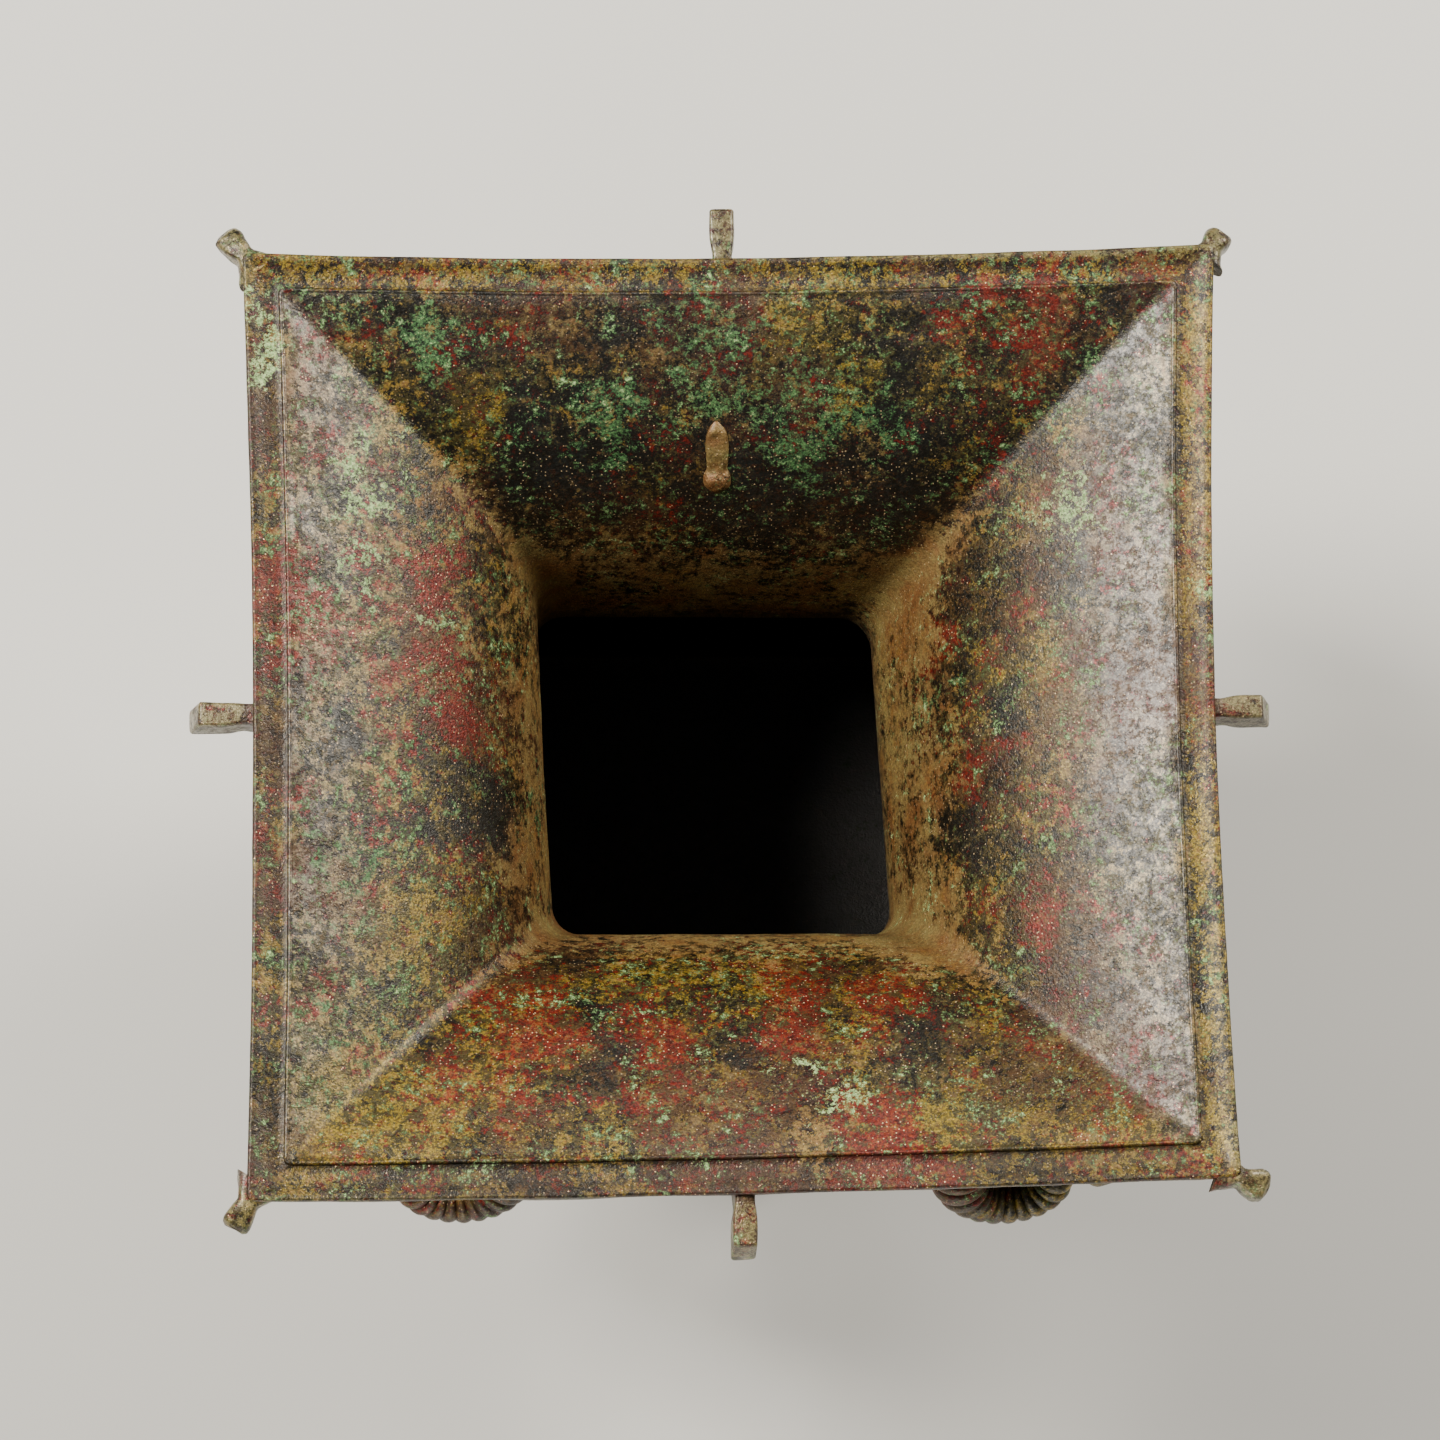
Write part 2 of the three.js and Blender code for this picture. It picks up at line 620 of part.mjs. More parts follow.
// The horn leaves the top of the head, turns over to the back and coils in beside the face.
function ramHorn(side) {
  const turnOut = degToRad(HORN_TURN_OUT);
  const lean = degToRad(HORN_LEAN);
  const back = new THREE.Vector3(-Math.cos(turnOut), Math.sin(turnOut), 0);
  const axis = new THREE.Vector3(
    Math.cos(lean) * Math.sin(turnOut),
    Math.cos(lean) * Math.cos(turnOut),
    Math.sin(lean),
  );
  const upward = axis.clone().cross(back);
  const centre = new THREE.Vector3(headOut + HORN_COIL_FORWARD, HORN_COIL_SIDE, headZ - HORN_COIL_DROP);
  const points = [];
  const radii = [];
  for (let k = 0; k <= HORN_STEPS; k += 1) {
    const share = k / HORN_STEPS;
    const turn = degToRad(104 - HORN_SWEEP * share);
    const settle = Math.min(1, share / 0.3);
    const wind = Math.max(0, (share - 0.3) / 0.7);
    const opening = lerp(1.75, 1.02, Math.sin(0.5 * Math.PI * settle));
    const coil = HORN_COIL_RADIUS * (share < 0.3 ? opening : lerp(1.02, 0.3, wind ** 1.3));
    const point = centre.clone()
      .addScaledVector(back, coil * Math.cos(turn))
      .addScaledVector(upward, coil * Math.sin(turn))
      .addScaledVector(axis, lerp(-HORN_INSET, 0, settle) + HORN_SCREW * wind);
    const rib = k % 2 === 0 ? 1 + HORN_RIB : 1 - HORN_RIB;
    points.push([point.x, side * point.y, point.z]);
    radii.push(HORN_TUBE * rib * lerp(1, 0.3, wind ** 1.1));
  }
  return tube(points, radii, HORN_SIDES, new THREE.Vector3(axis.x, side * axis.y, axis.z));
}

// A leaf-shaped ear that points out and back below the horn.
function ramEar(side) {
  const points = [0, 0.35, 0.7, 1].map((share) => [
    headOut - 0.19 * HEAD_LENGTH - 0.25 * EAR_LENGTH * share,
    side * (0.175 * HEAD_LENGTH + 0.9 * EAR_LENGTH * share),
    headZ - 0.12 * HEAD_LENGTH - 0.35 * EAR_LENGTH * share,
  ]);
  const radii = [[0.17, 0.23], [0.13, 0.3], [0.1, 0.23], [0.03, 0.05]];
  const sizes = radii.map(([wide, tall]) => [wide * EAR_LENGTH, tall * EAR_LENGTH]);
  return tube(points, sizes, 4, new THREE.Vector3(1, 0, 0.6));
}

function ramEye(side) {
  const eye = new THREE.SphereGeometry(RAM_EYE_RADIUS, 5, 3);
  eye.translate(headOut + 0.13 * HEAD_LENGTH, side * 0.135 * HEAD_LENGTH, headZ + 0.035 * HEAD_LENGTH);
  return toSolid(eye);
}

function makeRams(core) {
  const pairs = [-1, 1].flatMap((side) => [ramHorn(side), ramEar(side), ramEye(side)]);
  const ram = Manifold.union([headTube(HEAD_SECTIONS), headTube(BREAST_SECTIONS), ...pairs]);
  return cornerWays.map(({ angle }) => ram.rotate([0, 0, radToDeg(angle)]).subtract(core));
}

// Assembly

// Moves a point as the old casting has moved: the mouth's corners and sides drift, its corners
// lift, and the throat shifts and leans.
function outOfTrue(x, y, z) {
  const rise = clamp((z - NECK_BASE_Z) / (HEIGHT - NECK_BASE_Z), 0, 1.02);
  const u = clamp(x / MOUTH_HALF, -1.1, 1.1);
  const v = clamp(y / (MOUTH_HALF * DEPTH_FOR_WIDTH), -1.1, 1.1);
  const weights = [(1 - u) * (1 + v), (1 + u) * (1 + v), (1 + u) * (1 - v), (1 - u) * (1 - v)];
  const acrossSides = Math.max(0, 1 - v * v) / 2;
  const alongSides = Math.max(0, 1 - u * u) / 2;
  const sideWeights = [
    (1 + u) * acrossSides, (1 + v) * alongSides, (1 - u) * acrossSides, (1 - v) * alongSides,
  ];
  const drift = (axis) => (
    weights.reduce((sum, weight, k) => sum + weight * CORNER_DRIFT[k][axis] / 4, 0)
    + sideWeights.reduce((sum, weight, k) => sum + weight * SIDE_DRIFT[k][axis], 0)
  );
  const atThroat = Math.exp(-(((z - NECK_BASE_Z) / THROAT_DRIFT_SPREAD) ** 2));
  return [
    x + rise * drift(0) + atThroat * (THROAT_SHIFT + THROAT_SKEW * y),
    y + rise * drift(1),
    z + MOUTH_CORNER_LIFT * rise ** 3 * Math.min(1, Math.abs(u * v)) ** 1.5,
  ];
}

function makeVessel() {
  const core = filledBody(-0.5 * WALL);
  const solid = Manifold.union([
    makeShell(),
    ...makeFlanges(),
    ...makeOrnament(core),
    ...makeRams(core),
  ]);
  const { vertProperties, triVerts, numProp } = solid.getMesh();
  const positions = [];
  for (let v = 0; v < vertProperties.length; v += numProp) {
    positions.push(...outOfTrue(vertProperties[v], vertProperties[v + 1], vertProperties[v + 2]));
  }
  const geometry = new THREE.BufferGeometry();
  geometry.setAttribute('position', new THREE.Float32BufferAttribute(positions, 3));
  geometry.setIndex(Array.from(triVerts));
  const vessel = new THREE.Mesh(geometry, BRONZE);
  vessel.name = 'zun_vessel';
  return vessel;
}

const group = new THREE.Group();
group.add(makeVessel());

export default group;
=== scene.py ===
import math

import bpy
import numpy as np
from mathutils import Matrix, Vector


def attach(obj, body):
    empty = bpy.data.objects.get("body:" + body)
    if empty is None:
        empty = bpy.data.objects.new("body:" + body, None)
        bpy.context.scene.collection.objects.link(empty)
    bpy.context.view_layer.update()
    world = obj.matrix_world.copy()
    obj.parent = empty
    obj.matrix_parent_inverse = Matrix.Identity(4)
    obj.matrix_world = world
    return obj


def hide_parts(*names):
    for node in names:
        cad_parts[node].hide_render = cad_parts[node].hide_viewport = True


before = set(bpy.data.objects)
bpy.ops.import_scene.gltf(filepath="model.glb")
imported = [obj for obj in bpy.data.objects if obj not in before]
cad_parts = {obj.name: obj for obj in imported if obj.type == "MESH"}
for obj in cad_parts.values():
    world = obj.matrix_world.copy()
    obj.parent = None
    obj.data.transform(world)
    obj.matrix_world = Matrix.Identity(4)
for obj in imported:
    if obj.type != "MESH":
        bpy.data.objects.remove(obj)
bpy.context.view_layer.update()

# Camera
# The photograph looks almost straight down into the mouth, from a little in front of the vessel and
# a little to its left. Sizes here and below are in millimetres and are made metres in each mesh.
MM = 0.001
HEIGHT = 425.0
CAMERA_DISTANCE = 2128.0
CAMERA_TO_FRONT = math.radians(9.0)
CAMERA_TO_LEFT = math.radians(1.5)
FOCAL_PIXELS = 5488.0
IMAGE_PIXELS = 1440.0
MOUTH_CENTRE_PIXEL = (735.0, 722.0)


def make_camera():
    """Aims at the middle of the mouth; the shift puts that point on its pixel of the photograph."""
    data = bpy.data.cameras.new("camera")
    data.lens = data.sensor_width * FOCAL_PIXELS / IMAGE_PIXELS
    data.shift_x = (IMAGE_PIXELS / 2 - MOUTH_CENTRE_PIXEL[0]) / IMAGE_PIXELS
    data.shift_y = (MOUTH_CENTRE_PIXEL[1] - IMAGE_PIXELS / 2) / IMAGE_PIXELS
    data.clip_start = 0.1
    data.clip_end = 50.0
    camera = bpy.data.objects.new("camera", data)
    bpy.context.scene.collection.objects.link(camera)
    look = Vector((math.tan(CAMERA_TO_LEFT), math.tan(CAMERA_TO_FRONT), -1.0)).normalized()
    right = look.cross(Vector((0, 1, 0))).normalized()
    camera.location = Vector((0, 0, HEIGHT * MM)) - look * CAMERA_DISTANCE * MM
    camera.rotation_mode = "QUATERNION"
    camera.rotation_quaternion = Matrix((right, right.cross(look), -look)).transposed().to_quaternion()
    bpy.context.scene.camera = camera


make_camera()

# The casting's skin
# One bronze casting: a trumpet mouth with a guttered lip, a square throat, a shoulder, a tapering
# belly with a floor, and a hollow foot. Its wall is about 4.6 mm thick all through, and it is out
# of true, so every surface of the vessel goes through the same bending.
MOUTH_HALF = 190.5
DEPTH_FOR_WIDTH = 0.968
WALL = 4.6
LIP_THICKNESS = 4.6
LIP_BAND = 16.0
LIP_GUTTER = 2.6
LIP_CREST = 1.4
THROAT_HALF = 70.0
NECK_BASE_Z = 275.0
SHOULDER_HALF = 114.0
SHOULDER_EDGE_Z = 251.0
BELLY_BASE_Z = 122.0
BELLY_BASE_HALF = 87.0
BELLY_BULGE = 7.0
FOOT_TOP_Z = 110.0
FOOT_TOP_HALF = 79.0
FOOT_HALF = 98.0
FOOT_LIP = 12.0
FOOT_LIP_STEP = 1.5
FLOOR_Z = 118.0
FLOOR_THICKNESS = 6.0
MOUTH_CORNER_RADIUS = 3.0
BODY_CORNER_RADIUS = 7.0
THROAT_CORNER_RADIUS = 13.0
OUTSIDE_SOFTNESS = 0.6

# From the back left corner clockwise, then from the right side anticlockwise.
CORNER_DRIFT = np.array([[-2.5, -0.2], [-2.1, 6.0], [3.7, 8.0], [4.2, -2.3]])
SIDE_DRIFT = np.array([[-4.3, 0.6], [-2.7, -2.6], [3.0, 4.3], [0.0, -1.3]])
MOUTH_CORNER_LIFT = 6.0
THROAT_SHIFT = -5.8
THROAT_SKEW = -0.067
THROAT_DRIFT_SPREAD = 45.0

CREST_HALF = MOUTH_HALF - LIP_BAND
CREST_Z = HEIGHT - LIP_GUTTER + LIP_CREST
NECK_DEPTH = CREST_Z - NECK_BASE_Z
NECK_CURVE = np.array([
    [CREST_HALF, CREST_Z],
    [THROAT_HALF + 0.33 * (CREST_HALF - THROAT_HALF), CREST_Z - 0.18 * NECK_DEPTH],
    [THROAT_HALF, CREST_Z - 0.42 * NECK_DEPTH],
    [THROAT_HALF, NECK_BASE_Z],
])


def lerp(a, b, share):
    """a at share 0 and b at share 1, in a straight line."""
    return a + (b - a) * share


def smooth(value, low, high):
    """0 below low, 1 above high, and a soft S between them."""
    share = np.clip((value - low) / (high - low), 0.0, 1.0)
    return share * share * (3.0 - 2.0 * share)


def neck_wall(share, distance):
    """The neck's inner curve, a cubic Bezier, moved outwards by a distance: (half width, z)."""
    t = np.asarray(share, float)[..., None]
    p0, p1, p2, p3 = NECK_CURVE
    point = (1 - t) ** 3 * p0 + 3 * t * (1 - t) ** 2 * p1 + 3 * t * t * (1 - t) * p2 + t ** 3 * p3
    slope = (1 - t) ** 2 * (p1 - p0) + 2 * t * (1 - t) * (p2 - p1) + t * t * (p3 - p2)
    slope = slope / np.linalg.norm(slope, axis=-1, keepdims=True)
    return point[..., 0] - slope[..., 1] * distance, point[..., 1] + slope[..., 0] * distance


def belly_half(z):
    """The belly's half width: a straight taper from shoulder to base, with a soft bulge on it."""
    down = np.clip((SHOULDER_EDGE_Z - z) / (SHOULDER_EDGE_Z - BELLY_BASE_Z), 0.0, 1.0)
    return lerp(SHOULDER_HALF, BELLY_BASE_HALF, down) + BELLY_BULGE * np.sin(np.pi * down ** 0.85)


def foot_half(z):
    """The foot's half width, which spreads faster and faster towards the ground."""
    down = np.clip((FOOT_TOP_Z - z) / (FOOT_TOP_Z - FOOT_LIP), 0.0, 1.0)
    return lerp(FOOT_TOP_HALF, FOOT_HALF - FOOT_LIP_STEP, down ** 1.35)


def out_of_true(points):
    """Bends points as the old casting is bent. The mouth's corners and the middles of its sides
    drift, blended bilinearly and with parabolas along the sides and growing from the neck's base;
    the corners lift; and the throat shifts and leans in a Gaussian band around its lower edge."""
    x, y, z = points[..., 0], points[..., 1], points[..., 2]
    rise = np.clip((z - NECK_BASE_Z) / (HEIGHT - NECK_BASE_Z), 0.0, 1.02)
    u = np.clip(x / MOUTH_HALF, -1.1, 1.1)
    v = np.clip(y / (MOUTH_HALF * DEPTH_FOR_WIDTH), -1.1, 1.1)
    corners = np.stack([(1 - u) * (1 + v), (1 + u) * (1 + v), (1 + u) * (1 - v), (1 - u) * (1 - v)], -1)
    across = np.maximum(0.0, 1 - v * v) / 2
    along = np.maximum(0.0, 1 - u * u) / 2
    sides = np.stack([(1 + u) * across, (1 + v) * along, (1 - u) * across, (1 - v) * along], -1)
    drift = corners @ CORNER_DRIFT / 4 + sides @ SIDE_DRIFT
    at_throat = np.exp(-(((z - NECK_BASE_Z) / THROAT_DRIFT_SPREAD) ** 2))
    bent = np.empty_like(points)
    bent[..., 0] = x + rise * drift[..., 0] + at_throat * (THROAT_SHIFT + THROAT_SKEW * y)
    bent[..., 1] = y + rise * drift[..., 1]
    bent[..., 2] = z + MOUTH_CORNER_LIFT * rise ** 3 * np.minimum(1.0, np.abs(u * v)) ** 1.5
    return bent


def uneven(points, size, seed):
    """A soft random height at each point, mostly between -1 and 1: a sum of sine waves in random
    directions, whose lengths are about the given size."""
    rng = np.random.default_rng(seed)
    waves = 14
    directions = rng.normal(size=(waves, 3))
    directions /= np.linalg.norm(directions, axis=1, keepdims=True)
    lengths = size * rng.uniform(0.6, 1.7, waves)
    phases = rng.uniform(0, 2 * np.pi, waves)
    angles = points @ (directions / lengths[:, None]).T * 2 * np.pi + phases
    return np.sin(angles).sum(-1) / math.sqrt(waves)


def grid_faces(rows, columns, wrap_columns):
    """Quads of a grid of points stored row after row; the last column may join the first."""
    wide = columns if wrap_columns else columns - 1
    row = np.arange(rows - 1)[:, None] * columns
    column = np.arange(wide)[None, :]
    following = (column + 1) % columns
    corners = [row + column, row + following, row + columns + following, row + columns + column]
    return np.stack(corners, -1).reshape(-1, 4)


def build_mesh(name, points, faces, sharp_degrees):
    """A mesh of points in millimetres, its faces turned outwards by the sign of its volume."""
    faces = [np.asarray(block) for block in faces]
    signed = 0.0
    for block in faces:
        first = points[block[:, 0]]
        for k in range(1, block.shape[1] - 1):
            signed += np.einsum("ij,ij->", first, np.cross(points[block[:, k]], points[block[:, k + 1]]))
    if signed < 0:
        faces = [block[:, ::-1] for block in faces]
    mesh = bpy.data.meshes.new(name)
    mesh.from_pydata((points * MM).tolist(), [], [face for block in faces for face in block.tolist()])
    mesh.shade_smooth()
    mesh.set_sharp_from_angle(angle=math.radians(sharp_degrees))
    piece = bpy.data.objects.new(name, mesh)
    bpy.context.scene.collection.objects.link(piece)
    return piece


def closed_loft(name, rings, sharp_degrees):
    """A closed piece through rings of points: a grid whose columns join up, with a fan to the
    middle of the first ring and of the last one."""
    rows, columns = rings.shape[:2]
    middle = [rings[0].mean(0), rings[-1].mean(0)]
    points = np.vstack([rings.reshape(-1, 3), middle])
    around = np.arange(columns)
    following = (around + 1) % columns
    last = (rows - 1) * columns
    first_fan = np.stack([np.full(columns, rows * columns), following, around], -1)
    last_fan = np.stack([np.full(columns, rows * columns + 1), last + around, last + following], -1)
    quads = grid_faces(rows, columns, True)
    return build_mesh(name, points, [quads, first_fan, last_fan], sharp_degrees)


def around_square(side_steps, corner_steps):
    """Samples once around a rounded square, from the right side anticlockwise: where each one's
    corner centre is, as shares of the half width and half depth, and its way out from there."""
    centres, ways = [], []
    along = np.linspace(-1, 1, side_steps, endpoint=False)
    turns = np.linspace(0, np.pi / 2, corner_steps, endpoint=False)
    for side in range(4):
        angle = side * np.pi / 2
        c, s = round(math.cos(angle)), round(math.sin(angle))
        centres.append(np.stack([c - s * along, s + c * along], -1))
        ways.append(np.broadcast_to([c, s], (side_steps, 2)))
        centres.append(np.broadcast_to([c - s, s + c], (corner_steps, 2)))
        ways.append(np.stack([np.cos(angle + turns), np.sin(angle + turns)], -1))
    return np.vstack(centres), np.vstack(ways)


def square_rings(levels, side_steps, corner_steps):
    """Rings from levels of (half width, z, corner radius): each point is its corner's centre plus
    the radius along its way out."""
    half, z, radius = np.array(levels).T[:, :, None]
    centres, ways = around_square(side_steps, corner_steps)
    x = centres[:, 0] * (half - radius) + ways[:, 0] * radius
    y = centres[:, 1] * (half * DEPTH_FOR_WIDTH - radius) + ways[:, 1] * radius
    return np.stack([x, y, np.broadcast_to(z, x.shape)], -1)


def neck_corner(shares, softness):
    """The neck's corner radius, which goes from sharp at the mouth to soft at the throat."""
    return softness * lerp(MOUTH_CORNER_RADIUS, THROAT_CORNER_RADIUS, shares ** 1.5)


def neck_levels(shares, distance, softness):
    """Levels down the neck, at a distance outwards from its inner curve."""
    half, z = neck_wall(shares, distance)
    return [*zip(half, z, neck_corner(shares, softness))]


def arc_levels(centre_half, centre_z, size, start_degrees, end_degrees, steps, radius):
    """Levels along a rounded edge, turning from one direction to another about its centre."""
    turns = np.radians(np.linspace(start_degrees, end_degrees, steps))
    return [(centre_half + size * math.cos(t), centre_z + size * math.sin(t), radius) for t in turns]


def shell_levels():
    """The whole profile in one line: the belly's inside from the floor up, the throat, the crest,
    the guttered lip, the outside down to the ground, and the hollow foot up to its ceiling."""
    body = BODY_CORNER_RADIUS
    lip = MOUTH_CORNER_RADIUS
    floor_half = BELLY_BASE_HALF - WALL
    inside_z = np.linspace(BELLY_BASE_Z + 8, SHOULDER_EDGE_Z - 0.25 * WALL, 16)
    gutter = np.linspace(0, 1, 11)[1:-1]
    gutter_half = lerp(CREST_HALF + 2.6, MOUTH_HALF - 2.2, gutter)
    gutter_z = HEIGHT - LIP_GUTTER * (1 - gutter ** 2.2)
    outside_z = np.linspace(SHOULDER_EDGE_Z - 2.5, BELLY_BASE_Z, 32)
    foot_z = np.linspace(FOOT_TOP_Z, FOOT_LIP + 0.8, 26)
    hollow_z = np.linspace(8, FLOOR_Z - FLOOR_THICKNESS - 3, 12)
    shoulder_top = NECK_BASE_Z + 0.65 * WALL
    neck_half, _ = neck_wall(1.0, WALL)
    neck_inside = np.linspace(1, 0.012, 74)
    neck_outside = np.linspace(0, 0.94, 44)
    outside = neck_levels(neck_outside, WALL, OUTSIDE_SOFTNESS)
    outside = [(half, max(z, shoulder_top), radius) for half, z, radius in outside]
    return [
        *[(0.01 + floor_half * share, FLOOR_Z, body * share) for share in (0.1, 0.4, 0.7, 0.88)],
        *arc_levels(floor_half - 5, FLOOR_Z + 5, 5, -80, -10, 5, body),
        *[(belly_half(z) - WALL, z, body) for z in inside_z],
        (lerp(THROAT_HALF, SHOULDER_HALF - WALL, 0.7), lerp(NECK_BASE_Z, SHOULDER_EDGE_Z, 0.74), body + 3),
        (lerp(THROAT_HALF, SHOULDER_HALF - WALL, 0.3), lerp(NECK_BASE_Z, SHOULDER_EDGE_Z, 0.34), 11),
        (THROAT_HALF + 3.0, NECK_BASE_Z - 1.4, THROAT_CORNER_RADIUS),
        (THROAT_HALF + 1.0, NECK_BASE_Z - 1.0, THROAT_CORNER_RADIUS),
        *neck_levels(neck_inside, 0.0, 1.0),
        *arc_levels(CREST_HALF + 1.1, CREST_Z - 1.1, 1.2, 150, 5, 7, lip),
        *[(half, z, lip) for half, z in zip(gutter_half, gutter_z)],
        *arc_levels(MOUTH_HALF - 1.3, HEIGHT - 1.3, 1.3, 95, 0, 6, lip),
        *arc_levels(MOUTH_HALF - 1.0, HEIGHT - LIP_THICKNESS + 1.0, 1.0, 0, -85, 5, lip),
        *outside,
        (neck_half + 0.3, shoulder_top + 0.6, OUTSIDE_SOFTNESS * THROAT_CORNER_RADIUS),
        *[(lerp(neck_half, SHOULDER_HALF - 2, k), lerp(shoulder_top, SHOULDER_EDGE_Z + 3, k), body)
          for k in np.linspace(0.05, 0.96, 9)],
        *arc_levels(SHOULDER_HALF - 3, SHOULDER_EDGE_Z - 0.6, 3, 60, 0, 5, body),
        *[(belly_half(z), z, body) for z in outside_z],
        *[(lerp(BELLY_BASE_HALF, FOOT_TOP_HALF, k), lerp(BELLY_BASE_Z, FOOT_TOP_Z, k), body)
          for k in (0.3, 0.65)],
        *[(foot_half(z), z, body) for z in foot_z],
        *arc_levels(FOOT_HALF - 1.0, FOOT_LIP - 1.2, 1.0, 80, 0, 4, body),
        *arc_levels(FOOT_HALF - 0.8, 0.8, 0.8, 0, -88, 4, body),
        (FOOT_HALF - WALL, 0.0, body),
        *[(foot_half(z) - WALL, z, body) for z in hollow_z],
        *[(0.01 + (FOOT_TOP_HALF - WALL - 3) * share, FLOOR_Z - FLOOR_THICKNESS, body * share)
          for share in (0.97, 0.7, 0.4, 0.1)],
    ]


def add_values(piece, name, rows, columns):
    """Gives each ring of a closed loft a number of its own, and its end points their ring's."""
    values = np.concatenate([np.repeat(rows, columns), [rows[0], rows[-1]]])
    layer = piece.data.attributes.new(name, "FLOAT", "POINT")
    layer.data.foreach_set("value", values.astype(np.float32))


def make_shell():
    """The profile's levels carried round the square, then roughened along each ring's way out and
    bent out of true. Each ring keeps how deep inside the vessel it is, which sets the painted shade of
    the belly's inside, whether it is on the lip, and how near the gutter's bottom beside the crest, a
    Gaussian of the distance, which sets the painted shadow in the gutter."""
    levels = shell_levels()
    rings = square_rings(levels, 56, 7)
    _, ways = around_square(56, 7)
    out = np.concatenate([ways, np.zeros((len(ways), 1))], -1)
    above = smooth(rings[..., 2], 2.0, 9.0)[..., None]
    wobble = 0.28 * uneven(rings, 60.0, 3) + 0.08 * uneven(rings, 13.0, 5)
    in_bowl = (rings[..., 2] > NECK_BASE_Z) & (np.abs(rings[..., 2] - HEIGHT) > 3)
    rings = rings + out * above * np.where(in_bowl, wobble, 0.35 * wobble)[..., None]
    rings[..., 2] += np.where(rings[..., 2] > HEIGHT - 8, 0.35 * uneven(rings, 30.0, 8), 0.0)
    bent = out_of_true(rings)
    piece = closed_loft("shell", bent, 38.0)
    half, z, _ = np.array(levels).T
    order = np.arange(len(levels))
    crest = int(np.argmax(z > CREST_Z - 0.05))
    on_lip = (order >= crest) & (z > HEIGHT - LIP_THICKNESS - 0.6)
    add_values(piece, "inside", (1 - smooth(z, 262.0, 300.0)) * (order < crest), rings.shape[1])
    add_values(piece, "lip", smooth(half, CREST_HALF + 0.5, CREST_HALF + 2.5) * on_lip, rings.shape[1])
    add_values(piece, "gutter", np.exp(-(((half - CREST_HALF - 3.0) / 1.1) ** 2)) * on_lip, rings.shape[1])
    return piece


# The patina on it is old: a dark skin of slate and olive brown, with brick red and ochre, green
# corrosion and its pale crusts, tan where the throat is worn, and a satin gloss. Its fine cream specks
# are painted glints, the grey by the crests is partly wear and partly painted sheen, the back and right
# lips are painted lighter, and painted shade darkens the gutter, the left and front lips, the back wall
# and the belly's inside.


class Shade:
    """One output of a material's nodes. Arithmetic on it adds Math nodes."""

    def __init__(self, tree, socket=None):
        self.tree = tree
        self.socket = socket

    def node(self, kind, settings, inputs, output=0):
        """Adds a node: its settings first, then the values or links of its inputs."""
        node = self.tree.nodes.new("ShaderNode" + kind)
        for name, value in settings.items():
            setattr(node, name, value)
        for name, value in inputs.items():
            if isinstance(value, Shade):
                self.tree.links.new(value.socket, node.inputs[name])
            else:
                node.inputs[name].default_value = value
        return Shade(self.tree, node.outputs[output])

    def math(self, operation, *values):
        """A Math node's answer for these values or shades."""
        return self.node("Math", {"operation": operation}, dict(enumerate(values)))

    def __add__(self, other):
        return self.math("ADD", self, other)

    def __sub__(self, other):
        return self.math("SUBTRACT", self, other)

    def __rsub__(self, other):
        return self.math("SUBTRACT", other, self)

    def __mul__(self, other):
        return self.math("MULTIPLY", self, other)

    def __truediv__(self, other):
        return self.math("DIVIDE", self, other)

    def __abs__(self):
        return self.math("ABSOLUTE", self)

    __radd__ = __add__
    __rmul__ = __mul__

    def vector(self, operation, other, output=0):
        """A Vector Math node's answer for this vector and another one."""
        return self.node("VectorMath", {"operation": operation}, {0: self, 1: other}, output)

    def attribute(self, name):
        """A number that the mesh keeps at each of its points."""
        return self.node("Attribute", {"attribute_name": name}, {}, output=2)

    def axes(self):
        """The three numbers of a vector."""
        split = self.node("SeparateXYZ", {}, {"Vector": self}).socket.node
        return [Shade(self.tree, socket) for socket in split.outputs]

    def step(self, low, high):
        """0 at low, 1 at high, with a soft S between them."""
        settings = {"interpolation_type": "SMOOTHSTEP"}
        return self.node("MapRange", settings, {"Value": self, "From Min": low, "From Max": high})

    def noise(self, size, detail, roughness, shift=0.0):
        """Cloudy noise from 0 to 1, whose clouds are about a size in millimetres across."""
        moved = self.vector("ADD", (shift, 0.7 * shift, -shift))
        inputs = {"Vector": moved, "Scale": 1 / (size * MM), "Detail": detail, "Roughness": roughness}
        return self.node("TexNoise", {}, inputs)

    def dots(self, size, share, radius):
        """Small dots at scattered points a size in millimetres apart, some left out at random."""
        cells = self.node("TexVoronoi", {}, {"Vector": self, "Scale": 1 / (size * MM)})
        picked = Shade(self.tree, cells.socket.node.outputs["Color"]).axes()[0]
        return (radius - cells).step(0.0, 0.4 * radius) * (share - picked).step(0.0, 0.08)

    def over(self, below, above, kind="MIX"):
        """One colour laid over another where this value is 1."""
        settings = {"data_type": "RGBA", "blend_type": kind, "clamp_factor": True}
        return self.node("Mix", settings, {0: self, 6: below, 7: above}, output=2)

    def marks(self, places):
        """1 at the middles of round marks and 0 past their edges, seen from above. Each is given in
        millimetres as (x, y, radius). The least distance, as a share of a mark's radius, decides."""
        least = 9.0
        for x, y, radius in places:
            off = self.vector("DISTANCE", (x * MM, y * MM, 0.0), output=1) * (1 / (radius * MM))
            least = off.math("MINIMUM", off, least)
        return (1 - least).step(-0.5, 0.8)


def paint(code):
    """A colour from its usual six-figure code, as the renderer's linear light."""
    values = [int(code[k:k + 2], 16) / 255 for k in (0, 2, 4)]
    return (*[v / 12.92 if v < 0.04045 else ((v + 0.055) / 1.055) ** 2.4 for v in values], 1.0)


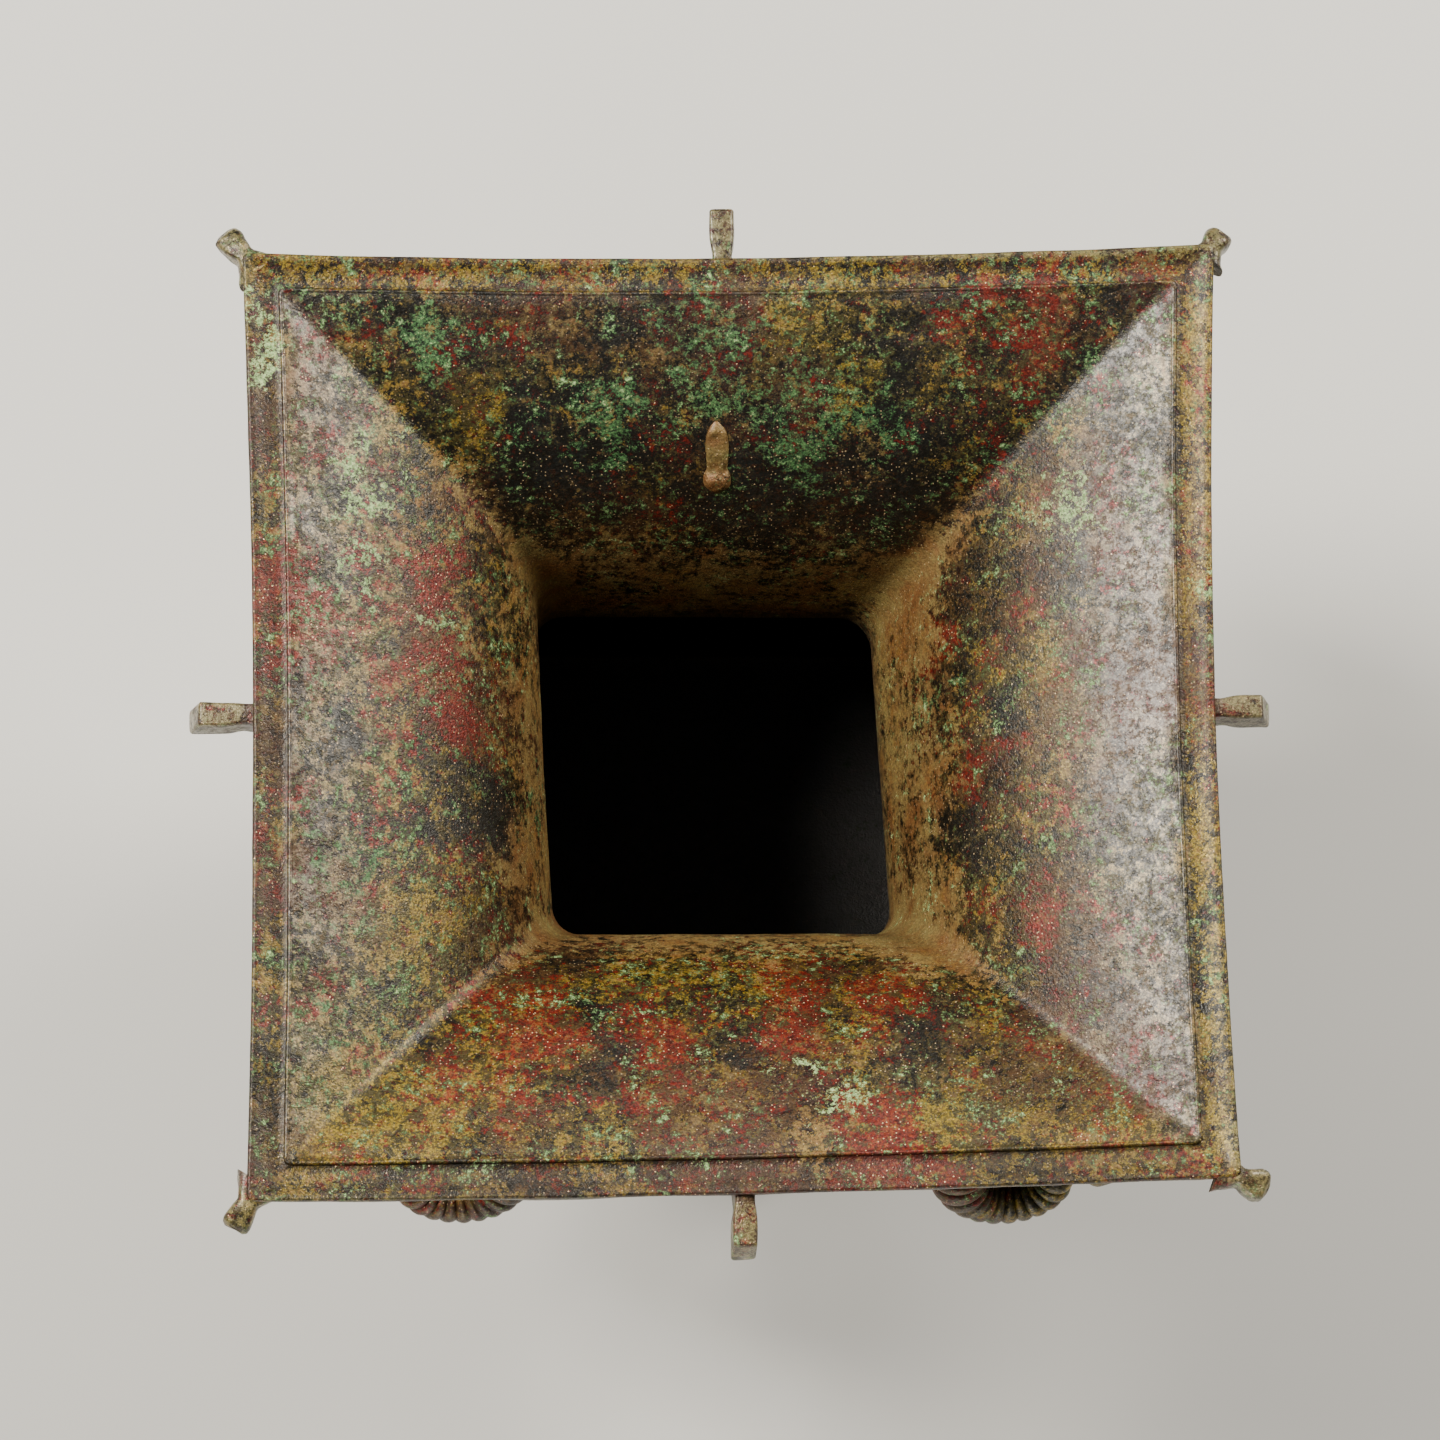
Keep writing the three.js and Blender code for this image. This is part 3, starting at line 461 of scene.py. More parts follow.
SLATE_SKIN = paint("14120b")
OLIVE_SKIN = paint("433c18")
OCHRE = paint("57480e")
BRIGHT_OCHRE = paint("9a821f")
WARM_BROWN = paint("4c2713")
DARK_RED = paint("380a05")
BRICK_RED = paint("8c2612")
COOL_SLATE = paint("141a18")
DARK_GREEN = paint("17391f")
PALE_GREEN = paint("52854b")
WORN_GREY_AND_SHEEN = paint("8a7a70")
DRAB = paint("7d7648")
GUTTER_PAINTED_SHADOW = paint("120d08")
LIP_PAINTED_SHADE = paint("241c10")
TAN = paint("85562c")
GREENISH_TAN = paint("8f7f47")
CRUST_GREEN = paint("7fa565")
CRUST_CREAM = paint("b9cf92")
PAINTED_GLINT_CREAM = paint("d9bd92")
PIT_BLACK = paint("0b0a08")
GRAIN_SHADE = paint("5a5248")
INSIDE_PAINTED_SHADE = paint("080604")
GROOVE_DARK = paint("0d0b08")
BRUSH_SLANT = math.radians(-32)

# Where single marks lie on the wall of the mouth, each (x, y, radius).
RED_MARKS = [(-120, 65, 17), (-112, 18, 21), (86, 45, 11), (97, -11, 14), (118, -71, 13), (-83, -119, 27),
             (-32, -128, 19), (22, -108, 18), (58, -99, 12), (110, 160, 24), (-177, 40, 26), (60, -168, 24)]
SLATE_MARKS = [(-46, -128, 13), (-105, -31, 17), (69, -125, 19), (97, -38, 17), (5, -126, 7), (-60, -102, 9),
               (101, 12, 11), (-150, 0, 15), (-70, 110, 26), (60, 100, 30), (10, 100, 26)]
OLIVE_MARKS = [(-150, -152, 30), (-106, -152, 22), (90, -148, 28), (145, -151, 22), (18, 157, 20),
               (-100, 135, 17), (46, 146, 14), (120, 20, 22), (-120, -80, 20)]
TAN_MARKS = [(-118, 88, 20), (-104, 47, 13), (-92, 74, 12), (-84, 20, 8), (-86, -45, 11), (77, -70, 17),
             (72, 74, 12), (87, -88, 14), (13, -113, 7), (18, -122, 6), (-140, 80, 14), (30, -160, 10)]
TEAL_MARKS = [(-18, 157, 17), (26, 125, 19), (0, 134, 12), (-45, 124, 15), (54, 127, 13), (-155, -57, 9),
              (-150, -115, 12), (-120, 150, 12), (84, 20, 8), (-84, -20, 9)]
CRUST_MARKS = [(-146, 94, 14), (-153, 108, 9), (-150, 62, 9), (-132, 115, 8), (132, 88, 14), (39, -146, 11),
               (31, -129, 7), (-186, 150, 14), (184, 60, 12), (-118, 45, 8)]


def make_patina(name, with_ground):
    """Layers from the skin outwards. Each lies where a fine grain is high enough for its broad
    density, so that a thin patch breaks up into grains; the densities come from cloudy noise, from
    which wall of the mouth a place is on, and from single marks. Places here are in metres."""
    material = bpy.data.materials.new(name)
    material.use_nodes = True
    tree = material.node_tree
    tree.nodes.clear()
    place = Shade(tree).node("TexCoord", {}, {}, output=3)
    x, y, z = place.axes()
    across, along = abs(x), abs(y) / DEPTH_FOR_WIDTH
    level = x.math("MAXIMUM", across, along)
    to_side = (across - along).step(-0.006, 0.006)
    east, west = to_side * x.step(0, 0.002), to_side * (0 - x).step(0, 0.002)
    north, south = (1 - to_side) * y.step(0, 0.002), (1 - to_side) * (0 - y).step(0, 0.002)
    high = z.step(0.285, 0.31)
    lip = place.attribute("lip")
    gutter = place.attribute("gutter")
    scar = place.attribute("scar")
    bowl = (1 - lip) * high
    # On the lip the back and right sides are painted lighter and the left and front ones darker, as painted
    # light and shade.
    lit_lip, shaded_lip = lip * (north + east), lip * (south + west)
    throat = (0.098 - level).step(0.0, 0.024) * z.step(0.262, 0.275)
    crease = (0.016 - abs(across - along)).step(0.0, 0.014) * (0.14 - level).step(0.0, 0.05) * high

    broad = place.noise(64, 2, 0.55, 0.3).step(0.3, 0.7)
    patch = place.noise(24, 4, 0.7, 3.1).step(0.3, 0.7)
    patch_two = place.noise(28, 4, 0.72, 7.7).step(0.3, 0.7)
    patch_three = place.noise(16, 4, 0.72, 12.3).step(0.3, 0.7)
    grain = place.noise(3.6, 4, 0.85, 5.2).step(0.33, 0.67)
    grain_two = place.noise(5.2, 4, 0.85, 9.2).step(0.33, 0.67)
    fine = place.noise(1.1, 2, 0.7, 8.4).step(0.3, 0.7)
    wander_inputs = {"Vector": place, "Scale": 40.0, "Detail": 2.0, "Roughness": 0.75}
    wander = place.node("TexNoise", {}, wander_inputs, output=1)
    moved = wander.vector("SUBTRACT", (0.5, 0.5, 0.5)).vector("MULTIPLY", (0.06, 0.06, 0.06))
    flat = place.vector("ADD", moved).vector("MULTIPLY", (1.0, 1.0, 0.0))

    def grains(value, density, soft=0.14):
        """1 where a grain is higher than one less the density, which is then the share covered."""
        return (value + density - 1.0).step(-soft, soft)

    # The skin: slate or olive brown, ochre in its thin places, and warm brown clouds.
    slate = flat.marks(SLATE_MARKS)
    olive = flat.marks(OLIVE_MARKS)
    # Painted shade: the skin of the back wall is painted darker.
    light = 0.5 + 0.3 * (patch_two - 0.5) + 0.35 * olive - 0.3 * slate - 0.12 * north - 0.1 * lip
    colour = grains(grain, light, 0.2).over(SLATE_SKIN, OLIVE_SKIN)
    ochre_density = 0.2 + 0.5 * (patch_two - 0.5) + 0.25 * olive - 0.2 * slate
    # More ochre on the back and right lips is painted light; less ochre on the back wall is painted shade.
    ochre_density = ochre_density + 0.14 * south + 0.08 * west - 0.05 * north + 0.35 * lit_lip
    ochre = grains(grain_two, ochre_density, 0.13)
    colour = (ochre * 0.85).over(colour, fine.over(OCHRE, BRIGHT_OCHRE))
    brown = grains(grain, 0.3 + 0.7 * (broad - 0.5), 0.25)
    colour = (brown * 0.6).over(colour, WARM_BROWN)
    # Brick red, cool slate and green, each in patches of its own.
    red_density = 0.02 + 0.75 * (patch - 0.5) + 0.1 * south + 0.05 * west + 0.06 * lip
    red = grains(1 - grain, red_density + 0.55 * flat.marks(RED_MARKS) - 0.2 * slate, 0.18)
    reds = (grain_two * 0.6 + fine * 0.4).over(DARK_RED, BRICK_RED)
    colour = (red * 0.9).over(colour, reds)
    cool = grains(grain_two, 0.1 + 0.5 * (broad - 0.6) + 0.5 * slate, 0.2)
    colour = (cool * 0.75).over(colour, COOL_SLATE)
    teal_density = 0.02 + 0.7 * (patch_three - 0.5) + 0.1 * north + 0.06 * west
    teal = grains(grain, teal_density + 0.4 * flat.marks(TEAL_MARKS), 0.16)
    colour = (teal * 0.8).over(colour, fine.over(DARK_GREEN, PALE_GREEN))
    # Grey near the crest of the side walls, partly wear and partly painted sheen; drab wear on the ends
    # of the flanges and knobs; a painted shadow in the gutter; painted shade on the left and front lips.
    wear_and_sheen = grains(grain_two, 0.35 + 0.3 * (broad - 0.5), 0.3) * level.step(0.135, 0.172)
    colour = (wear_and_sheen * bowl * (east + west) * 0.3).over(colour, WORN_GREY_AND_SHEEN)
    rubbed_ends = level.step(0.1885, 0.1925) * z.step(0.39, 0.4)
    colour = (grains(grain_two, 0.55, 0.3) * rubbed_ends * 0.7).over(colour, DRAB)
    # A painted shadow along the gutter beside the crest, darker on the right wall.
    colour = (gutter * (0.35 + 0.45 * east)).over(colour, GUTTER_PAINTED_SHADOW)
    # Painted shade on the left and front lips.
    colour = (shaded_lip * 0.35).over(colour, LIP_PAINTED_SHADE)
    # Tan in the throat and the creases, pale crusts, cream specks painted as glints, and dark pits.
    tan_density = 0.5 * (patch_two - 0.6) + 0.75 * throat + 0.4 * crease + 0.9 * scar
    tan = grains(grain_two, tan_density + 0.45 * flat.marks(TAN_MARKS), 0.3)
    colour = (tan * 0.75).over(colour, patch.over(TAN, GREENISH_TAN))
    crust = grains(grain, 0.6 * (patch_three - 0.72) + 0.5 * flat.marks(CRUST_MARKS), 0.14)
    colour = (crust * 0.85).over(colour, fine.over(CRUST_GREEN, CRUST_CREAM))
    painted_glints = place.dots(1.7, 0.7, 0.22) * (0.4 + red * 0.9 + 0.5 * slate)
    colour = (painted_glints * 0.85).over(colour, PAINTED_GLINT_CREAM)
    pits = place.dots(5.5, 0.3, 0.09)
    colour = (pits * 0.9).over(colour, PIT_BLACK)
    colour = ((1 - fine) * 0.5).over(colour, GRAIN_SHADE, "MULTIPLY")
    # Painted shade: the belly's inside, which no lamp reaches, is painted nearly black.
    dark = place.attribute("inside")
    colour = (dark * 0.96).over(colour, INSIDE_PAINTED_SHADE)

    # Fine brush lines slant across the front half of the right wall.
    slant = {"Vector": place, "Rotation": (0, 0, BRUSH_SLANT), "Scale": (0.12, 1.0, 1.0)}
    brushed = place.node("Mapping", {}, slant).noise(0.9, 1, 0.6)
    brush = east * (0 - y).step(0.03, 0.09) * level.step(0.12, 0.15) * bowl
    height = grain * 0.5 + fine * 0.5 + brush * brushed * 0.6
    if with_ground:
        map_place = place.node("UVMap", {"uv_map": "along_the_wall"}, {})
        ground = place.attribute("ground")
        groove = square_spirals(map_place) * ground
        # The spiral grooves are coloured darker.
        colour = (groove * 0.75).over(colour, GROOVE_DARK)
        height = height - groove * 2.2
    bump = place.node("Bump", {}, {"Strength": 0.45, "Distance": 0.0005, "Height": height})
    rough = 0.33 + 0.1 * patch + 0.1 * grain + 0.12 * teal + 0.2 * crust + 0.15 * tan + 0.1 * dark
    # The coat is a thin gloss that lies in grains, and is rubbed brightest near the crest.
    sheen = 1.4 * grain_two + 0.8 * fine - 0.6
    rubbed = (0.3 + 0.7 * level.step(0.11, 0.175) * bowl) * (1 - 0.7 * south) * (1 - 0.5 * red)
    rubbed = rubbed * (1 - 0.3 * east) * (0.6 + 0.6 * patch_two) * (1 - 0.6 * shaded_lip)
    coat = sheen.math("MAXIMUM", sheen, 0.03) * rubbed * (1 - 0.6 * crust) * (1 - 0.5 * tan) * (1 - dark)
    shader = place.node("BsdfPrincipled", {}, {}).socket.node
    ends = {"Base Color": colour, "Roughness": rough, "Normal": bump, "Coat Weight": coat}
    for socket, value in ends.items():
        tree.links.new(value.socket, shader.inputs[socket])
    for socket, value in {"Metallic": 0.4, "Specular IOR Level": 0.6, "Coat Roughness": 0.36}.items():
        shader.inputs[socket].default_value = value
    output = tree.nodes.new("ShaderNodeOutputMaterial")
    tree.links.new(shader.outputs[0], output.inputs["Surface"])
    return material


def dress(pieces, material):
    """Gives pieces their finish, makes them ride on the vessel, and hides the plain part they stand for."""
    for piece in pieces:
        piece.data.materials.append(material)
        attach(piece, "root")
        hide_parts("zun_vessel")


bronze = make_patina("bronze_patina", False)
shell = make_shell()
dress([shell], bronze)

# Nub
# A small scar stands on the back wall of the mouth, where metal ran in at the casting: a flat
# tongue that swells into a round drop at its lower end. It is one metal with the wall.
NUB_ACROSS = -3.5
NUB_TOP = 0.262
NUB_BOTTOM = 0.45
NUB_SINK = 0.4
NUB_SIDES = 32


def through(stations, values, at):
    """A smooth curve through rows of values at rising stations: cubic Hermite pieces, whose slopes
    are the mean of the slopes on both sides of a station."""
    stations, values = np.asarray(stations, float), np.asarray(values, float)
    flat = values.ndim == 1
    values = values[:, None] if flat else values
    widths = np.diff(stations)[:, None]
    slopes = np.diff(values, axis=0) / widths
    middle = (slopes[:-1] * widths[1:] + slopes[1:] * widths[:-1]) / (widths[1:] + widths[:-1])
    tangents = np.vstack([slopes[:1], middle, slopes[-1:]])
    k = np.clip(np.searchsorted(stations, at, side="right") - 1, 0, len(widths) - 1)
    t = ((at - stations[k]) / widths[k, 0])[:, None]
    result = (
        values[k] * (1 + 2 * t) * (1 - t) ** 2 + values[k + 1] * t * t * (3 - 2 * t)
        + tangents[k] * widths[k] * t * (1 - t) ** 2 - tangents[k + 1] * widths[k] * t * t * (1 - t)
    )
    return result[:, 0] if flat else result


def unit(vectors):
    """The vectors at length one."""
    return vectors / np.maximum(np.linalg.norm(vectors, axis=-1, keepdims=True), 1e-9)


def once_round(steps):
    """Angles at even steps round a full turn."""
    return np.linspace(0, 2 * np.pi, steps, endpoint=False)


def carried(path, widths, talls, side, turns, power=1.0):
    """Rings carried along a path: each point is the path's, plus the side vector times a half width
    times a cosine, plus the vector square to both times a half height times a sine. A power below
    one makes the section boxier."""
    tangent = unit(np.gradient(path, axis=0))
    across = unit(side - (tangent * side).sum(-1, keepdims=True) * tangent)
    upward = np.cross(tangent, across)
    c, s = np.cos(turns), np.sin(turns)
    c, s = np.sign(c) * np.abs(c) ** power, np.sign(s) * np.abs(s) ** power
    rings = path[:, None] + across[:, None] * (widths[:, None] * c)[..., None]
    return rings + upward[:, None] * (talls[:, None] * s)[..., None]


def make_nub():
    """Ellipses carried down the wall, half sunk in it. Their half widths and heights pass smoothly
    through a few stations from the tongue's top to the drop's bottom. The layer "scar" marks it."""
    at = np.linspace(0, 1, 44)
    half, z = neck_wall(lerp(NUB_TOP, NUB_BOTTOM, at), NUB_SINK)
    stations = [0.0, 0.1, 0.3, 0.5, 0.6, 0.75, 0.9, 1.0]
    wide = through(stations, [1.2, 3.4, 4.6, 4.4, 4.2, 5.6, 4.8, 1.2], at)
    tall = through(stations, [0.8, 1.7, 2.0, 1.9, 1.7, 3.6, 3.0, 0.9], at)
    path = np.stack([np.full(len(at), NUB_ACROSS), half * DEPTH_FOR_WIDTH, z], -1)
    turns = once_round(NUB_SIDES)
    rings = carried(path, wide, tall, np.array([1.0, 0.0, 0.0]), turns)
    rings = rings + 0.25 * uneven(rings, 6.0, 41)[..., None] * np.array([0.5, -1.0, 1.0])
    piece = closed_loft("casting_scar", out_of_true(rings), 60.0)
    add_values(piece, "scar", np.ones(len(at)), NUB_SIDES)
    return piece


nub = make_nub()
dress([nub], bronze)

# Flanges
# Upright flanges cast in one with the wall run down the middles of the four faces and down the
# four corners, in three lengths: neck, belly and foot. Each has hooked notches along its edge and
# shallow slots in its sides. On the faces the neck's flange ends in a block out past the lip.
FLANGE_THICKNESS = 9.4
CORNER_FLANGE_THICKNESS = 8.6
FLANGE_ROOT = 2.4
FLANGE_GAP = 6.0
FLANGE_END_HEIGHT = 19.0
FLANGE_END_SLANT = 4.5
FLANGE_END_DROP = 3.0
FLANGE_EDGE_RADIUS = 1.3
FLANGE_JOIN = 0.16
NO_WAIST = 1e4
NECK_FLANGE_REACH = 17.0
CORNER_NECK_FLANGE_REACH = 12.0
BELLY_FLANGE_REACH = 12.0
FOOT_FLANGE_REACH = 10.0
MOUTH_FLANGE_REACHES = [19.0, 20.5, 21.5, 19.5]
NOTCH_PITCH = 40.0
NOTCH_WIDTH = 8.0
NOTCH_DEPTH = 4.2
SLOT_DEPTH = 1.0
KNOB_HEIGHT = 14.0
HEAD_LENGTH = 115.0
UNDER_BREAST_Z = SHOULDER_EDGE_Z - 0.54 * HEAD_LENGTH

# Faces are numbered anticlockwise from the right one; corners clockwise from the back left one.
DIAGONAL = math.atan2(DEPTH_FOR_WIDTH, 1.0)
FACE_ANGLES = [k * math.pi / 2 for k in range(4)]
FACE_STRETCHES = [1.0, DEPTH_FOR_WIDTH, 1.0, DEPTH_FOR_WIDTH]
CORNER_ANGLES = [math.pi - DIAGONAL, DIAGONAL, -DIAGONAL, math.pi + DIAGONAL]
CORNER_STRETCH = math.hypot(1.0, DEPTH_FOR_WIDTH)
CORNER_CUT = math.sqrt(2.0) - 1.0


def turned(points, angle):
    """Points made along the x axis, turned about the vertical axis to face an angle."""
    c, s = math.cos(angle), math.sin(angle)
    x, y, z = points[..., 0], points[..., 1], points[..., 2]
    return np.stack([c * x - s * y, s * x + c * y, z], -1)


def plate_section():
    """A rounded rectangle once round, as four arrays: the share of the plate's depth and the
    millimetres added to it, then the share of half its thickness and the millimetres added."""
    r = FLANGE_EDGE_RADIUS
    turns = np.linspace(0, np.pi / 2, 4)
    ways = [(0, -1), (-1, 0), (0, 1), (1, 0)]
    parts = []
    for k, (deep, side) in enumerate([(0, -1), (0, 1), (1, 1), (1, -1)]):
        start, end = ways[k], ways[(k + 1) % 4]
        deeper = r * (np.cos(turns) * start[0] + np.sin(turns) * end[0] + 1 - 2 * deep)
        aside = r * (np.cos(turns) * start[1] + np.sin(turns) * end[1] - side)
        parts.append([np.full(4, float(deep)), deeper, np.full(4, float(side)), aside])
        if k % 2:
            flat = np.linspace(deep, 1 - deep, 9)[1:-1]
            parts.append([flat, 0 * flat, np.full(7, float(side)), 0 * flat])
    return [np.concatenate(part) for part in zip(*parts)]


def hook_depth(travelled):
    """How deep the edge is cut at a distance along it: at every pitch it drops straight in, and
    comes back out in a straight slope over the notch's width."""
    phase = np.mod(travelled - 0.6 * NOTCH_PITCH, NOTCH_PITCH)
    cut = (travelled > 0.6 * NOTCH_PITCH) & (phase < NOTCH_WIDTH)
    return np.where(cut, NOTCH_DEPTH * (1 - phase / NOTCH_WIDTH), 0.0)


def make_flange(name, rungs, thickness, angle, notch_start, waist_at):
    """A plate carried down a ladder of rungs, each from a root point to an edge point in (distance
    from the axis, z). A rung's section is a rounded rectangle, drawn in at both ends of the plate
    by a quarter circle. The sides dip in shallow slots between the notches, and draw together in a
    Gaussian where the root is at a waist's distance from the axis."""
    rungs = np.array(rungs)
    steps = np.hypot(*np.diff(rungs[:, 2:], axis=0).T)
    travelled = np.concatenate([[0.0], np.cumsum(np.maximum(steps, 0.05))])
    total = travelled[-1]
    r = FLANGE_EDGE_RADIUS
    close = np.array([0.0, 0.12, 0.45, 0.9]) * r
    rows = np.concatenate([close, np.arange(r, total - r, 1.0), total - close[::-1]])
    dense = np.stack([np.interp(rows, travelled, rungs[:, k]) for k in range(4)], -1)
    root, edge = dense[:, :2], dense[:, 2:]
    depth = np.linalg.norm(edge - root, axis=1)
    way = (edge - root) / depth[:, None]
    depth = depth - hook_depth(rows - notch_start)
    from_end = np.minimum(np.minimum(rows, total - rows), r)
    inset = r - np.sqrt(np.maximum(0.0, r * r - (r - from_end) ** 2))
    half = 0.5 * thickness * (1 - 0.2 * np.exp(-(((root[:, 0] - waist_at) / 4.5) ** 2)))
    share, offset, side, side_offset = plate_section()
    slot_phase = np.mod(rows - notch_start + 6.0, 0.5 * NOTCH_PITCH) / (0.5 * NOTCH_PITCH)
    slot = smooth(np.abs(slot_phase - 0.5), 0.32, 0.25) * (rows > notch_start + 4) * (rows < total - 5)
    deep = np.exp(-(((share - 0.5) / 0.2) ** 4))
    a = share * (depth - 2 * inset)[:, None] + inset[:, None] + offset
    b = side * (half - inset)[:, None] + side_offset
    b = b - side * SLOT_DEPTH * slot[:, None] * deep * (np.abs(side_offset) < 1e-6)
    distance = root[:, :1] + way[:, :1] * a
    height = root[:, 1:] + way[:, 1:] * a
    points = turned(np.stack([distance, b, height], -1), angle)
    points = points + 0.18 * uneven(points, 16.0, 11)[..., None] * np.array([1.0, 1.0, 0.0])
    return closed_loft(name, out_of_true(points), 42.0)


def neck_rungs(stretch, cut, reach, mouth_reach):
    """Rungs from the mouth down the neck: the root lies inside the wall, and the edge is the same
    curve further out, which a straight run from the mouth joins at a share of the way down. On a
    face the first rungs make the block past the lip."""
    lip = MOUTH_HALF * stretch - cut * MOUTH_CORNER_RADIUS
    top = HEIGHT - FLANGE_END_DROP
    shares = np.linspace(0.05, 0.93, 90)
    radius = neck_corner(shares, OUTSIDE_SOFTNESS)
    root_half, root_z = neck_wall(shares, WALL - FLANGE_ROOT)
    wall_half, _ = neck_wall(shares, WALL)
    far_half, far_z = neck_wall(shares, WALL + reach)
    edge_r = wall_half * stretch - cut * radius + far_half - wall_half
    edge_z = far_z
    if mouth_reach:
        low = top - FLANGE_END_HEIGHT
        first = [
            [lip + mouth_reach, top, lip + mouth_reach + FLANGE_END_SLANT, low],
            [lip + 0.5 * mouth_reach, top, lip + 0.55 * mouth_reach, low - 0.4],
            [lip, top, lip + 3, low - 0.7],
            [lip - 5, top - 1, lip - 4, low - 1],
        ]
    else:
        first = [
            [lip, top, lip, top - 0.8 * KNOB_HEIGHT],
            [lip - 5, top - 1, lip - 7, top - KNOB_HEIGHT - 3],
        ]
    last = np.array(first[-1][2:])
    start = int(np.searchsorted(shares, FLANGE_JOIN))
    blend = np.clip(shares / FLANGE_JOIN, 0, 1)
    edge_r = np.where(shares < FLANGE_JOIN, lerp(last[0], edge_r[start], blend), edge_r)
    edge_z = np.where(shares < FLANGE_JOIN, lerp(last[1], edge_z[start], blend), edge_z)
    wall = np.stack([root_half * stretch - cut * radius, root_z, edge_r, edge_z], -1)
    return first + wall.tolist()


def body_rungs(half_at, top_z, bottom_z, stretch, cut, reach):
    """Level rungs down the belly or the foot, following its outline."""
    z = np.linspace(top_z, bottom_z, 50)
    wall = half_at(z) * stretch - cut * BODY_CORNER_RADIUS
    return np.stack([wall - FLANGE_ROOT, z, wall + reach, z], -1).tolist()


def make_flanges(place, angle, stretch, cut, thickness, neck, belly_top):
    """The three flanges, one above another, of one face or one corner."""
    foot_top, foot_bottom = FOOT_TOP_Z - FLANGE_GAP, FOOT_LIP + 0.5 * FLANGE_GAP
    belly = body_rungs(belly_half, belly_top, BELLY_BASE_Z + FLANGE_GAP, stretch, cut, BELLY_FLANGE_REACH)
    foot = body_rungs(foot_half, foot_top, foot_bottom, stretch, cut, FOOT_FLANGE_REACH)
    lip = MOUTH_HALF * stretch
    return [
        make_flange(f"neck_flange_{place}", neck, thickness, angle, 45.0, lip + 2),
        make_flange(f"belly_flange_{place}", belly, thickness, angle, 0.0, NO_WAIST),
        make_flange(f"foot_flange_{place}", foot, thickness, angle, 0.0, NO_WAIST),
    ]


flanges = []
for k, place in enumerate(["right", "back", "left", "front"]):
    neck = neck_rungs(FACE_STRETCHES[k], 0.0, NECK_FLANGE_REACH, MOUTH_FLANGE_REACHES[k])
    flanges += make_flanges(place, FACE_ANGLES[k], FACE_STRETCHES[k], 0.0, FLANGE_THICKNESS, neck,
                            SHOULDER_EDGE_Z - FLANGE_GAP)
CORNER_PLACES = ["back_left", "back_right", "front_right", "front_left"]
for k, place in enumerate(CORNER_PLACES):
    neck = neck_rungs(CORNER_STRETCH, CORNER_CUT, CORNER_NECK_FLANGE_REACH, 0.0)
    flanges += make_flanges(place, CORNER_ANGLES[k], CORNER_STRETCH, CORNER_CUT,
                            CORNER_FLANGE_THICKNESS, neck, UNDER_BREAST_Z)
dress(flanges, bronze)

# Knobs
# At each corner of the mouth the lip is drawn out into a small knob with a waist and a blunt,
# swollen end. Wear has left each of the four with its own shape. They are cast with the lip.
KNOB_TURNS = [-6.0, 14.0, 20.0, 16.0]
KNOB_REACHES = [13.0, 8.5, 12.5, 12.0]
KNOB_STATIONS = np.array([-0.62, -0.2, 0.08, 0.35, 0.62, 0.82, 0.95, 1.0])
KNOB_HALF_WIDTHS = [
    [10.0, 6.2, 4.3, 4.7, 5.5, 5.7, 4.9, 3.4],
    [9.0, 6.0, 4.6, 5.0, 5.5, 5.0, 3.6, 2.0],
    [9.0, 5.8, 3.9, 4.9, 5.9, 5.6, 4.1, 2.2],
    [10.0, 6.4, 4.4, 4.9, 5.4, 5.5, 4.9, 4.0],
]


def make_knob(name, widths, reach, angle, turn):
    """Rings across the knob from inside the lip to its blunt end. A ring is a superellipse: its
    half width is the worn outline's, and its height tapers a little towards the end."""
    at = np.concatenate([np.linspace(-0.62, 0.9, 26), 1 - 0.1 * np.cos(np.linspace(0.3, 1.57, 6))])
    half = through(KNOB_STATIONS, widths, at)[:, None]
    turns = once_round(40)
    c, s = np.cos(turns), np.sin(turns)
    across = half * np.sign(c) * np.abs(c) ** 0.62
    tall = 0.5 * KNOB_HEIGHT * (1 - 0.16 * smooth(at, 0.3, 1.0) - 0.3 * smooth(at, 0.86, 1.02))[:, None]
    rise = -1.3 * smooth(at, 0.2, 1.0)[:, None] + tall * np.sign(s) * np.abs(s) ** 0.5
    middle_z = HEIGHT - 0.5 - 0.5 * KNOB_HEIGHT
    lip = MOUTH_HALF * CORNER_STRETCH - CORNER_CUT * MOUTH_CORNER_RADIUS
    out = np.broadcast_to(at[:, None] * reach, across.shape)
    local = turned(np.stack([out, across, middle_z + rise], -1), math.radians(turn))
    local[..., 0] += lip
    points = turned(local, angle)
    points = points + 0.3 * uneven(points, 9.0, 21)[..., None] * np.array([1.0, 1.0, 0.6])
    return closed_loft(name, out_of_true(points), 50.0)


knobs = [
    make_knob(f"mouth_knob_{place}", KNOB_HALF_WIDTHS[k], KNOB_REACHES[k], CORNER_ANGLES[k], KNOB_TURNS[k])
    for k, place in enumerate(CORNER_PLACES)
]
dress(knobs, bronze)

# Rams' heads
# Four rams' heads stand out from the corners of the shoulder, each carried down onto the belly by
# its breast. Head, breast, ears and horns are the same bronze, and one metal with the wall.
HEAD_OUT = SHOULDER_HALF * CORNER_STRETCH + 25.0
HEAD_Z = SHOULDER_EDGE_Z + 5.0
EAR_LENGTH = 30.0
HORN_COIL_RADIUS = 23.5
HORN_TUBE = 11.5
HORN_COIL_FORWARD = 12.0
HORN_COIL_SIDE = 32.5
HORN_COIL_DROP = 6.0
HORN_TURN_OUT = math.radians(45)
HORN_LEAN = math.radians(30)
HORN_RIB_PITCH = 5.4

